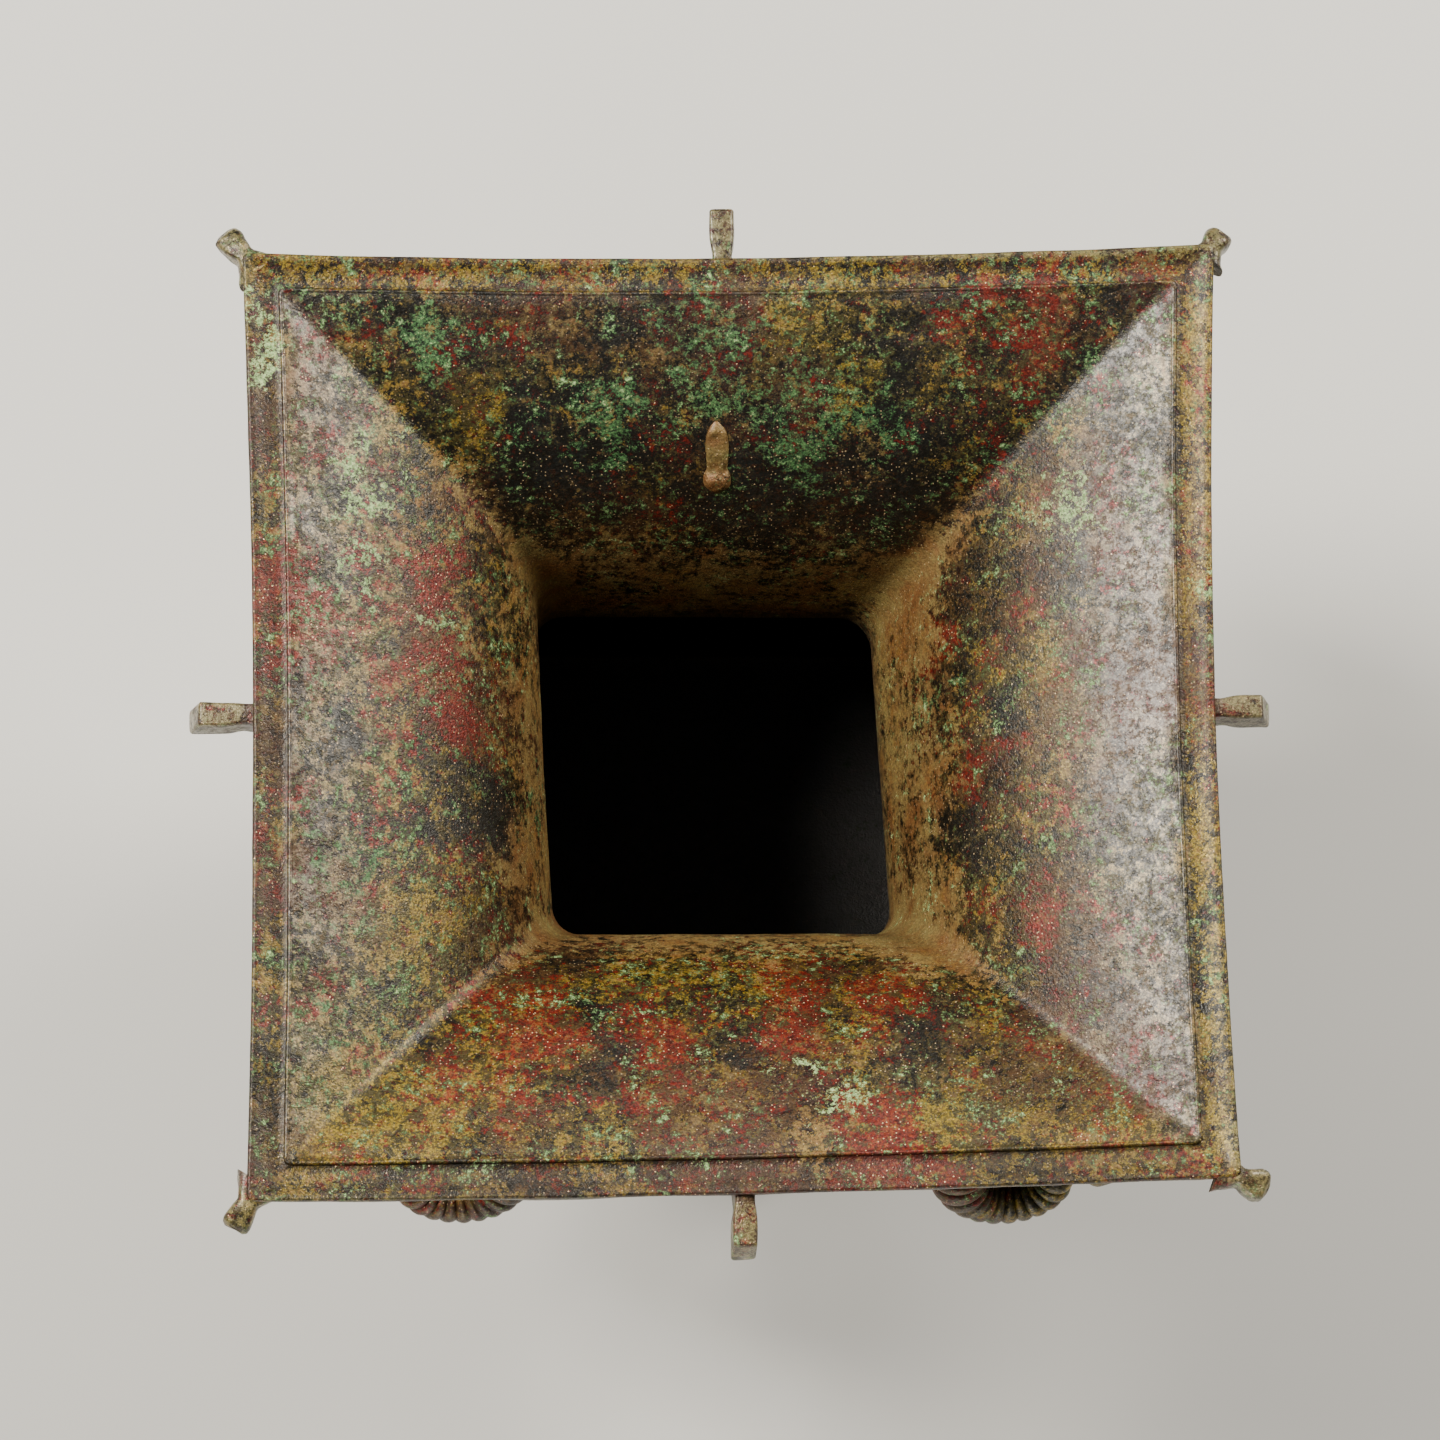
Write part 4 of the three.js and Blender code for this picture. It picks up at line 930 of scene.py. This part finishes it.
# The eye's place and all sections are in shares of the head's length. A section is its way out,
# way up, half width and half height.
RAM_EYE_PLACE = np.array([0.178, 0.12, 0.052])
HEAD_SECTIONS = np.array([
    [-0.63, -0.40, 0.235, 0.260],
    [-0.40, -0.24, 0.243, 0.270],
    [-0.21, -0.09, 0.226, 0.243],
    [-0.05, 0.01, 0.200, 0.217],
    [0.09, -0.02, 0.174, 0.190],
    [0.19, -0.10, 0.140, 0.148],
    [0.28, -0.19, 0.113, 0.113],
    [0.34, -0.26, 0.104, 0.087],
    [0.37, -0.30, 0.070, 0.052],
])
BREAST_SECTIONS = np.array([
    [-0.35, -0.26, 0.210, 0.174],
    [-0.30, -0.45, 0.190, 0.157],
    [-0.38, -0.64, 0.130, 0.120],
    [-0.50, -0.80, 0.060, 0.070],
])
# Bumps and hollows of half the head: height, place in shares of the head's length, and radii.
# They are the brow, temple, cheek, bridge of the nose, nostril and its rim.
HEAD_BUMPS = [
    (3.2, (0.10, 0.11, 0.11), (9, 6, 4)),
    (-2.6, (0.16, 0.15, -0.02), (8, 6, 5)),
    (2.4, (0.10, 0.17, -0.12), (12, 7, 8)),
    (1.5, (0.22, 0.0, 0.02), (16, 5, 12)),
    (-4.2, (0.37, 0.055, -0.225), (3.8, 2.7, 3.4)),
    (1.5, (0.35, 0.085, -0.2), (4.5, 2.5, 5)),
]
# The vessel's outside from the ground up to the neck: (half width, z).
WALL_LEVELS = np.array([
    (foot_half(z), z) for z in np.linspace(FOOT_LIP, FOOT_TOP_Z, 30)
] + [
    (belly_half(z), z) for z in np.linspace(BELLY_BASE_Z, SHOULDER_EDGE_Z, 40)
] + [(76.0, 278.0), (74.0, 300.0), (76.0, 330.0)])


def stay_outside(points):
    """Moves points that reach inside the vessel out to the middle of its wall, level by level."""
    half = np.interp(points[..., 2], WALL_LEVELS[:, 1], WALL_LEVELS[:, 0]) - 0.5 * WALL
    level = np.maximum(np.abs(points[..., 0]), np.abs(points[..., 1]) / DEPTH_FOR_WIDTH)
    scale = np.maximum(1.0, half / np.maximum(level, 1.0))
    moved = points.copy()
    moved[..., :2] = points[..., :2] * scale[..., None]
    return moved


def head_rings(sections, rows, columns, power):
    """The head's or the breast's sections as rings in millimetres, with smooth sections between."""
    stations = np.linspace(0, 1, len(sections))
    at = np.linspace(0, 1, rows)
    out, up, wide, tall = through(stations, sections, at).T * HEAD_LENGTH
    path = np.stack([HEAD_OUT + out, np.zeros(rows), HEAD_Z + up], -1)
    turns = once_round(columns)
    return carried(path, wide, tall, np.array([0.0, 1.0, 0.0]), turns, power)


def bump_at(points, centre, radii):
    """1 at a centre, falling off as a Gaussian with its own radius along each axis."""
    off = (points - centre) / np.array(radii)
    return np.exp(-(off ** 2).sum(-1))


def ram_head():
    """The head's tube, pushed in or out along the way from its path: brow ridges, hollow temples,
    cheeks, nostrils, and a mouth that runs back from under the nose."""
    rings = head_rings(HEAD_SECTIONS, 110, 72, 0.9)
    way = unit(rings - rings.mean(1, keepdims=True))
    side = np.stack([rings[..., 0] - HEAD_OUT, np.abs(rings[..., 1]), rings[..., 2] - HEAD_Z], -1)
    length = HEAD_LENGTH
    push = np.zeros(rings.shape[:2])
    for height, spot, radii in HEAD_BUMPS:
        push += height * bump_at(side, np.array(spot) * length, radii)
    mouth = -0.305 * length + 0.16 * (0.36 * length - side[..., 0])
    on_muzzle = smooth(side[..., 0], 0.2 * length, 0.25 * length)
    on_muzzle = on_muzzle * smooth(-side[..., 2], 0.2 * length, 0.24 * length)
    push -= 1.8 * np.exp(-(((side[..., 2] - mouth) / 1.1) ** 2)) * on_muzzle
    fleece = smooth(-side[..., 0], 0.1 * length, 0.2 * length)
    curl = np.sin(side[..., 0] * 0.62 + 1.3 * np.sin(side[..., 2] * 0.33))
    curl = curl * np.sin(side[..., 2] * 0.55 + 1.2 * np.sin(side[..., 0] * 0.3))
    push += 0.9 * fleece * curl
    rings = rings + way * push[..., None]
    front = rings.shape[0] - 1
    nose = np.array([rings[front].mean(0) + np.array([1.5, 0, -0.5])])
    cap = [nose + (rings[front] - nose) * share for share in (0.75, 0.4, 0.12)]
    return np.concatenate([rings, cap])


def ram_breast():
    """The breast's tube with rows of hanging locks: sine ridges that run down it."""
    rings = head_rings(BREAST_SECTIONS, 60, 60, 1.0)
    way = unit(rings - rings.mean(1, keepdims=True))
    down = np.linspace(0, 1, 60)[:, None]
    lock = np.cos(rings[..., 1] * 0.9 + 2.0 * np.sin(down * 14.0)) * np.sin(np.pi * down)
    return rings + way * (0.9 * lock)[..., None]


def ram_horn(side):
    """A tube on a coil that opens from the crown, turns over to the back and winds in beside the
    face. Its radius is scalloped: each rib is a half sine wave between two sharp valleys."""
    back = np.array([-math.cos(HORN_TURN_OUT), math.sin(HORN_TURN_OUT), 0.0])
    axis = np.array([
        math.cos(HORN_LEAN) * math.sin(HORN_TURN_OUT),
        math.cos(HORN_LEAN) * math.cos(HORN_TURN_OUT),
        math.sin(HORN_LEAN),
    ])
    upward = np.cross(axis, back)
    share = np.linspace(0, 1, 300)
    turn = np.radians(104.0 - 400.0 * share)[:, None]
    settle = np.clip(share / 0.3, 0, 1)
    wind = np.clip((share - 0.3) / 0.7, 0, 1)
    opening = lerp(1.75, 1.02, np.sin(0.5 * np.pi * settle))
    coil = HORN_COIL_RADIUS * np.where(share < 0.3, opening, lerp(1.02, 0.3, wind ** 1.3))[:, None]
    middle = np.array([HEAD_OUT + HORN_COIL_FORWARD, HORN_COIL_SIDE, HEAD_Z - HORN_COIL_DROP])
    path = middle + back * coil * np.cos(turn) + upward * coil * np.sin(turn)
    path = path + axis * (lerp(-8.0, 0.0, settle) + 3.0 * wind)[:, None]
    travelled = np.concatenate([[0], np.cumsum(np.linalg.norm(np.diff(path, axis=0), axis=1))])
    rib = np.abs(np.sin(np.pi * travelled / HORN_RIB_PITCH)) ** 0.6
    radius = HORN_TUBE * lerp(1.0, 0.3, wind ** 1.1) * lerp(0.93, 1.09, rib)
    radius = radius * lerp(1.0, 0.35, smooth(share, 0.985, 1.0))
    turns = once_round(28)
    rings = carried(path, radius, radius, axis, turns)
    rings[..., 1] *= side
    return rings


def ram_ear(side):
    """A leaf along a short path behind the cheek, hollowed on its front by a Gaussian furrow."""
    share = np.linspace(0, 1, 30)
    path = np.stack([
        HEAD_OUT - 0.19 * HEAD_LENGTH - 0.25 * EAR_LENGTH * share,
        side * (0.175 * HEAD_LENGTH + 0.9 * EAR_LENGTH * share),
        HEAD_Z - 0.12 * HEAD_LENGTH - 0.35 * EAR_LENGTH * share,
    ], -1)
    wide, tall = through([0, 0.35, 0.7, 1.0], [[0.17, 0.23], [0.13, 0.3], [0.1, 0.23], [0.03, 0.05]], share).T
    turns = once_round(28)
    rings = carried(path, wide * EAR_LENGTH, tall * EAR_LENGTH, np.array([1.0, 0.0, 0.6]), turns)
    off = rings - path[:, None]
    furrow = np.exp(-((off[..., 2] / 2.4) ** 2)) * (off[..., 0] > 0) * np.sin(np.pi * share)[:, None]
    rings[..., 0] -= 2.0 * furrow
    return rings


def ram_eye(side):
    """A dome with a raised lid round it: a profile of radius and height turned about a line that
    points out, sideways and up from the face."""
    centre = RAM_EYE_PLACE * [1.0, side, 1.0] * HEAD_LENGTH + np.array([HEAD_OUT, 0.0, HEAD_Z])
    out = unit(np.array([0.62, side * 0.62, 0.48]))
    first = unit(np.cross(out, np.array([0.0, 0.0, 1.0])))
    second = np.cross(out, first)
    profile = np.array([
        [7.6, -3.0], [8.2, 1.0], [8.0, 2.6], [7.2, 3.4], [6.3, 3.0], [5.9, 2.2], [5.6, 2.6],
        [5.0, 4.0], [4.0, 5.1], [2.8, 5.8], [1.4, 6.2], [0.5, 6.25],
    ])
    profile = through(np.arange(len(profile)), profile, np.linspace(0, len(profile) - 1, 34))
    turns = once_round(36)
    ring = np.cos(turns)[:, None] * first * 1.12 + np.sin(turns)[:, None] * second * 0.86
    return centre + profile[:, :1, None] * ring + profile[:, 1:, None] * out


rams = []
for place, angle in zip(CORNER_PLACES, CORNER_ANGLES):
    parts = {"head": ram_head(), "breast": ram_breast()}
    for side, hand in ((1, "left"), (-1, "right")):
        parts[f"horn_{hand}"] = ram_horn(side)
        parts[f"ear_{hand}"] = ram_ear(side)
        parts[f"eye_{hand}"] = ram_eye(side)
    for part, rings in parts.items():
        points = out_of_true(stay_outside(turned(rings, angle)))
        rams.append(closed_loft(f"ram_{part}_{place}", points, 45.0))
dress(rams, bronze)

# Raised ornament
# Blades stand on the base of the neck, and masks with horns, eyes and jaws cover the belly and the
# foot, over a ground of fine square spirals. All of it is cast in the wall's face.
BLADE_HEIGHT = 2.4
BLADE_HALF_WIDTH = 22.0
BLADE_MARGIN = 9.0
BLADE_LEAN = 26.0
BLADE_TIP_DROP = 32.0
MASK_HEIGHT = 3.6
MASK_BANDS = {"belly": (BELLY_BASE_Z, SHOULDER_EDGE_Z, belly_half), "foot": (FOOT_LIP, FOOT_TOP_Z, foot_half)}
MASK_SIZES = {"belly": 24.0, "foot": 19.0}
EYE_RADII = {"belly": 9.0, "foot": 7.0}
EYE_LEVELS = {"belly": 0.54, "foot": 0.55}
EYE_SPREADS = {"belly": 0.36, "foot": 0.41}
EYE_HEIGHT = 5.5
PANEL_STEP = 1.5
PANEL_BACK_STEP = 12
PANEL_INSET = 5.0
PANEL_LIFT = 0.55
PANEL_EDGE_DEPTH = 0.3
PANEL_BACK_DEPTH = 2.3


def outline_distance(x, z, outline):
    """How far each point lies from a closed outline, negative inside it: the least distance to any
    of its edges, with the sign from how many edges a level line to the right would cross."""
    points = np.stack([x, z], -1)[..., None, :]
    a, b = outline, np.roll(outline, -1, axis=0)
    edge = b - a
    along = ((points - a) * edge).sum(-1) / np.maximum((edge ** 2).sum(-1), 1e-9)
    nearest = a + np.clip(along, 0, 1)[..., None] * edge
    distance = np.linalg.norm(points - nearest, axis=-1).min(-1)
    z = points[..., 1]
    crosses = (a[:, 1] > z) != (b[:, 1] > z)
    rise = np.where(np.abs(edge[:, 1]) < 1e-9, 1e-9, edge[:, 1])
    crosses &= points[..., 0] < a[:, 0] + (z - a[:, 1]) / rise * edge[:, 0]
    return np.where(crosses.sum(-1) % 2 == 1, -distance, distance)


def bent_line(a, b, c):
    """A quadratic Bezier curve from a to c by way of b."""
    t = np.linspace(0, 1, 14)[:, None]
    return (1 - t) ** 2 * np.array(a) + 2 * t * (1 - t) * np.array(b) + t * t * np.array(c)


def blade_outline():
    """The long leaf of the neck, drawn on the right half of a face."""
    inner, outer = 0.5 * FLANGE_THICKNESS + 3, THROAT_HALF - BLADE_MARGIN
    half = min(BLADE_HALF_WIDTH, 0.5 * (outer - inner))
    middle = 0.5 * (inner + outer)
    base, tip = NECK_BASE_Z + BLADE_MARGIN, HEIGHT - BLADE_TIP_DROP
    waist = lerp(base, tip, 0.6)
    right_base, point, left_base = (middle + half, base), (middle + BLADE_LEAN, tip), (middle - half, base)
    right_edge = bent_line(right_base, (middle + half + 0.5 * BLADE_LEAN, waist), point)
    left_edge = bent_line(point, (middle - half + 0.3 * BLADE_LEAN, waist), left_base)
    return np.vstack([right_edge[:-1], left_edge[:-1], [left_base]])


def horn_outline(eye_x, eye_z, size):
    """A thick C that curls out and up over the mask's eye."""
    centre = np.array([eye_x + 0.35 * size, eye_z + 0.75 * size])
    turns = np.radians(np.linspace(-150, 110, 22))
    arc = np.stack([np.cos(turns), np.sin(turns)], -1)
    return centre + np.vstack([arc * size, arc[::-1] * 0.62 * size])


def jaw_outline(eye_x, eye_z, size):
    """The mask's jaw and cheek: a block with a hooked lower end."""
    inner, outer = 0.5 * FLANGE_THICKNESS + 2.5, eye_x + 0.55 * size
    return np.array([
        [inner, eye_z - 0.1 * size], [eye_x - 0.5 * size, eye_z - 0.2 * size],
        [eye_x - 0.35 * size, eye_z - 0.85 * size], [outer, eye_z - 0.75 * size],
        [outer + 0.35 * size, eye_z - 1.15 * size], [outer - 0.2 * size, eye_z - 1.55 * size],
        [inner, eye_z - 1.55 * size],
    ])


def raised(distance, height):
    """A motif's height from its outline's distance: a steep soft edge, a flat top, and a groove
    that runs round inside it."""
    top = height * smooth(-distance, -0.4, 1.6)
    groove = np.exp(-(((distance + 3.4) / 0.85) ** 2)) + 0.8 * np.exp(-(((distance + 6.6) / 0.8) ** 2))
    return top - 1.0 * groove * (height > 1)


def eye_height(x, z, eye_x, eye_z, radius):
    """A flattened dome with a slit across it and a rim round it."""
    r = np.hypot(x - eye_x, (z - eye_z) * 1.1) / radius
    dome = EYE_HEIGHT * np.sqrt(np.maximum(0.0, 1 - r * r))
    slit = np.exp(-(((z - eye_z) / 0.9) ** 2)) * smooth(-np.abs(x - eye_x), -0.6 * radius, -0.3 * radius)
    rim = 2.6 * np.exp(-(((r - 1.28) / 0.16) ** 2))
    return np.maximum(dome - 1.6 * slit, rim)


def panel_heights(kind, x, z):
    """The relief of one face's panel at (distance across, z), the same on both sides of its middle."""
    x = np.abs(x)
    if kind == "neck":
        return raised(outline_distance(x, z, blade_outline()), BLADE_HEIGHT)
    low, high, half_at = MASK_BANDS[kind]
    eye_z = lerp(low, high, EYE_LEVELS[kind])
    eye_x = EYE_SPREADS[kind] * half_at(eye_z)
    size = MASK_SIZES[kind]
    motifs = [
        raised(outline_distance(x, z, horn_outline(eye_x, eye_z, size)), MASK_HEIGHT),
        raised(outline_distance(x, z, jaw_outline(eye_x, eye_z, size)), MASK_HEIGHT),
        eye_height(x, z, eye_x, eye_z, EYE_RADII[kind]),
    ]
    return np.maximum.reduce(motifs)


def make_panel(name, kind, angle, stretch):
    """A thin slab let into a face. Its front is a grid on the wall, lifted along the wall's normal
    by the relief; its back lies inside the wall, with fewer columns; strips and many-sided faces
    close the edges. Its map holds millimetres along the wall, for the ground's spirals."""
    if kind == "neck":
        down = np.linspace(0.13, 0.955, 128)
        half, z = neck_wall(down, WALL)
        corner = neck_corner(down, OUTSIDE_SOFTNESS)
    else:
        low, high, half_at = MASK_BANDS[kind]
        rows = int((high - low - 2 * PANEL_INSET) / PANEL_STEP) + 1
        z = np.linspace(high - PANEL_INSET, low + PANEL_INSET, rows)
        half = half_at(z)
        corner = np.full(len(z), BODY_CORNER_RADIUS)
    side_half = half * (DEPTH_FOR_WIDTH if stretch == 1.0 else 1.0)
    face_half = half * stretch
    widest = float((side_half - corner).max())
    columns = int(2 * widest / PANEL_STEP / PANEL_BACK_STEP) * PANEL_BACK_STEP + 1
    across = np.linspace(-1, 1, columns) * (side_half - corner - PANEL_INSET)[:, None]
    slope = np.stack([np.gradient(half), np.gradient(z)], -1)
    normal = unit(np.stack([-slope[:, 1], slope[:, 0]], -1))
    normal *= np.sign(normal[:, :1].sum())
    z_grid = np.broadcast_to(z[:, None], across.shape)
    heights = panel_heights(kind, across, z_grid)
    row_edge = np.minimum(np.arange(len(z)), np.arange(len(z))[::-1])[:, None]
    column_edge = np.minimum(np.arange(columns), np.arange(columns)[::-1])[None, :]
    rim = smooth(np.minimum(row_edge, column_edge), -0.5, 2.5)
    waves = uneven(np.stack([across, z_grid, across * 0], -1), 14.0, 31)
    lift = (heights + PANEL_LIFT) * rim - PANEL_EDGE_DEPTH + 0.12 * waves

    def place(side, away):
        """Points at a distance from the wall, on this panel's face."""
        out = face_half[:, None] + normal[:, :1] * away
        up = z[:, None] + normal[:, 1:] * away
        return out_of_true(turned(np.stack([out, side, up], -1), angle))

    front = place(across, lift)
    back_across = across[:, ::PANEL_BACK_STEP]
    back = place(back_across, np.full(back_across.shape, -PANEL_BACK_DEPTH))
    rows, cells = len(z), back_across.shape[1] - 1
    first_back = rows * columns
    side = cells + 1
    r = np.arange(rows - 1)
    front_faces = grid_faces(rows, columns, False)
    back_faces = grid_faces(rows, side, False)[:, ::-1] + first_back
    left = np.stack([r * columns, (r + 1) * columns, first_back + (r + 1) * side, first_back + r * side], -1)
    right_front, right_back = r * columns + columns - 1, first_back + r * side + cells
    right = np.stack([right_front, right_back, right_back + side, right_front + columns], -1)
    cell = np.arange(cells)[:, None]
    run = np.arange(PANEL_BACK_STEP + 1)
    top = np.hstack([cell * PANEL_BACK_STEP + run[::-1], first_back + cell, first_back + cell + 1])
    last_front, last_back = (rows - 1) * columns, first_back + (rows - 1) * side
    bottom = np.hstack([last_front + cell * PANEL_BACK_STEP + run, last_back + cell + 1, last_back + cell])
    points = np.vstack([front.reshape(-1, 3), back.reshape(-1, 3)])
    piece = build_mesh(name, points, [front_faces, back_faces, left, right, top, bottom], 60.0)
    travelled = np.concatenate([[0], np.cumsum(np.hypot(*np.diff(np.stack([half, z]), axis=1)))])
    flat = np.stack([across, np.broadcast_to(travelled[:, None], across.shape)], -1)
    back_flat = flat[:, ::PANEL_BACK_STEP]
    wrap = np.vstack([flat.reshape(-1, 2), back_flat.reshape(-1, 2)])
    corners = np.empty(len(piece.data.loops), dtype=np.int32)
    piece.data.loops.foreach_get("vertex_index", corners)
    piece.data.uv_layers.new(name="along_the_wall").data.foreach_set("uv", wrap[corners].ravel())
    ground = smooth(0.5 - heights, 0.0, 0.4) * rim
    ground = np.concatenate([ground.ravel(), np.zeros(back.shape[0] * back.shape[1])])
    layer = piece.data.attributes.new("ground", "FLOAT", "POINT")
    layer.data.foreach_set("value", ground.astype(np.float32))
    return piece


SPIRAL_CELL = 11.0
SPIRAL_TURNS = 2.5


def square_spirals(flat):
    """Grooves in square spirals, one to a cell. In a cell the larger of the two distances from its
    middle gives a ring, and the way round it shifts the rings until they join as one line."""
    shrink = (1 / SPIRAL_CELL, 1 / SPIRAL_CELL, 0.0)
    across, along, _ = flat.vector("MULTIPLY", shrink).vector("FRACTION", (0, 0, 0)).axes()
    across, along = across * 2.0 - 1.0, along * 2.0 - 1.0
    ring = across.math("MAXIMUM", abs(across), abs(along))
    turn = along.math("ARCTAN2", along, across) / (2 * math.pi)
    wave = ring * SPIRAL_TURNS - turn
    return (0.3 - abs(wave.math("FRACT", wave) - 0.5)).step(0.0, 0.14)


panels = [
    make_panel(f"{kind}_ornament_{place}", kind, FACE_ANGLES[k], FACE_STRETCHES[k])
    for k, place in enumerate(["right", "back", "left", "front"])
    for kind in ("neck", "belly", "foot")
]
dress(panels, make_patina("bronze_patina_ornament", True))

# Floor and light
# A plain pale floor, and three soft lamps: a large one high on the left, a weaker one on the right
# and a small one from the front. They aren't part of the vessel.


def make_floor():
    """One flat square, and a plain pale paint."""
    mesh = bpy.data.meshes.new("floor")
    mesh.from_pydata([(-4, -4, 0), (4, -4, 0), (4, 4, 0), (-4, 4, 0)], [], [(0, 1, 2, 3)])
    floor = bpy.data.objects.new("floor", mesh)
    bpy.context.scene.collection.objects.link(floor)
    material = bpy.data.materials.new("floor_paint")
    material.use_nodes = True
    body = material.node_tree.nodes["Principled BSDF"]
    body.inputs["Base Color"].default_value = paint("c9c8c4")
    body.inputs["Roughness"].default_value = 0.9
    mesh.materials.append(material)


def make_lamp(name, place, target, size, power, colour):
    """A square area lamp at a place in metres, facing a target."""
    data = bpy.data.lights.new(name, "AREA")
    data.size = size
    data.energy = power
    data.color = colour
    lamp = bpy.data.objects.new(name, data)
    lamp.location = place
    lamp.rotation_mode = "QUATERNION"
    lamp.rotation_quaternion = (Vector(target) - Vector(place)).to_track_quat("-Z", "Y")
    bpy.context.scene.collection.objects.link(lamp)


make_floor()
make_lamp("left_lamp", (-1.4, 0.5, 2.15), (0, 0, 0.4), 0.7, 125, (1.0, 0.95, 0.86))
make_lamp("right_lamp", (1.6, 1.15, 1.75), (0, 0, 0.4), 0.8, 92, (1.0, 0.95, 0.86))
make_lamp("front_lamp", (-0.3, -2.4, 0.36), (0, 0, 0.2), 0.6, 26, (1.0, 0.98, 0.94))
world = bpy.data.worlds.new("studio")
world.use_nodes = True
world.node_tree.nodes["Background"].inputs["Color"].default_value = (0.9, 0.92, 0.95, 1.0)
world.node_tree.nodes["Background"].inputs["Strength"].default_value = 0.14
bpy.context.scene.world = world
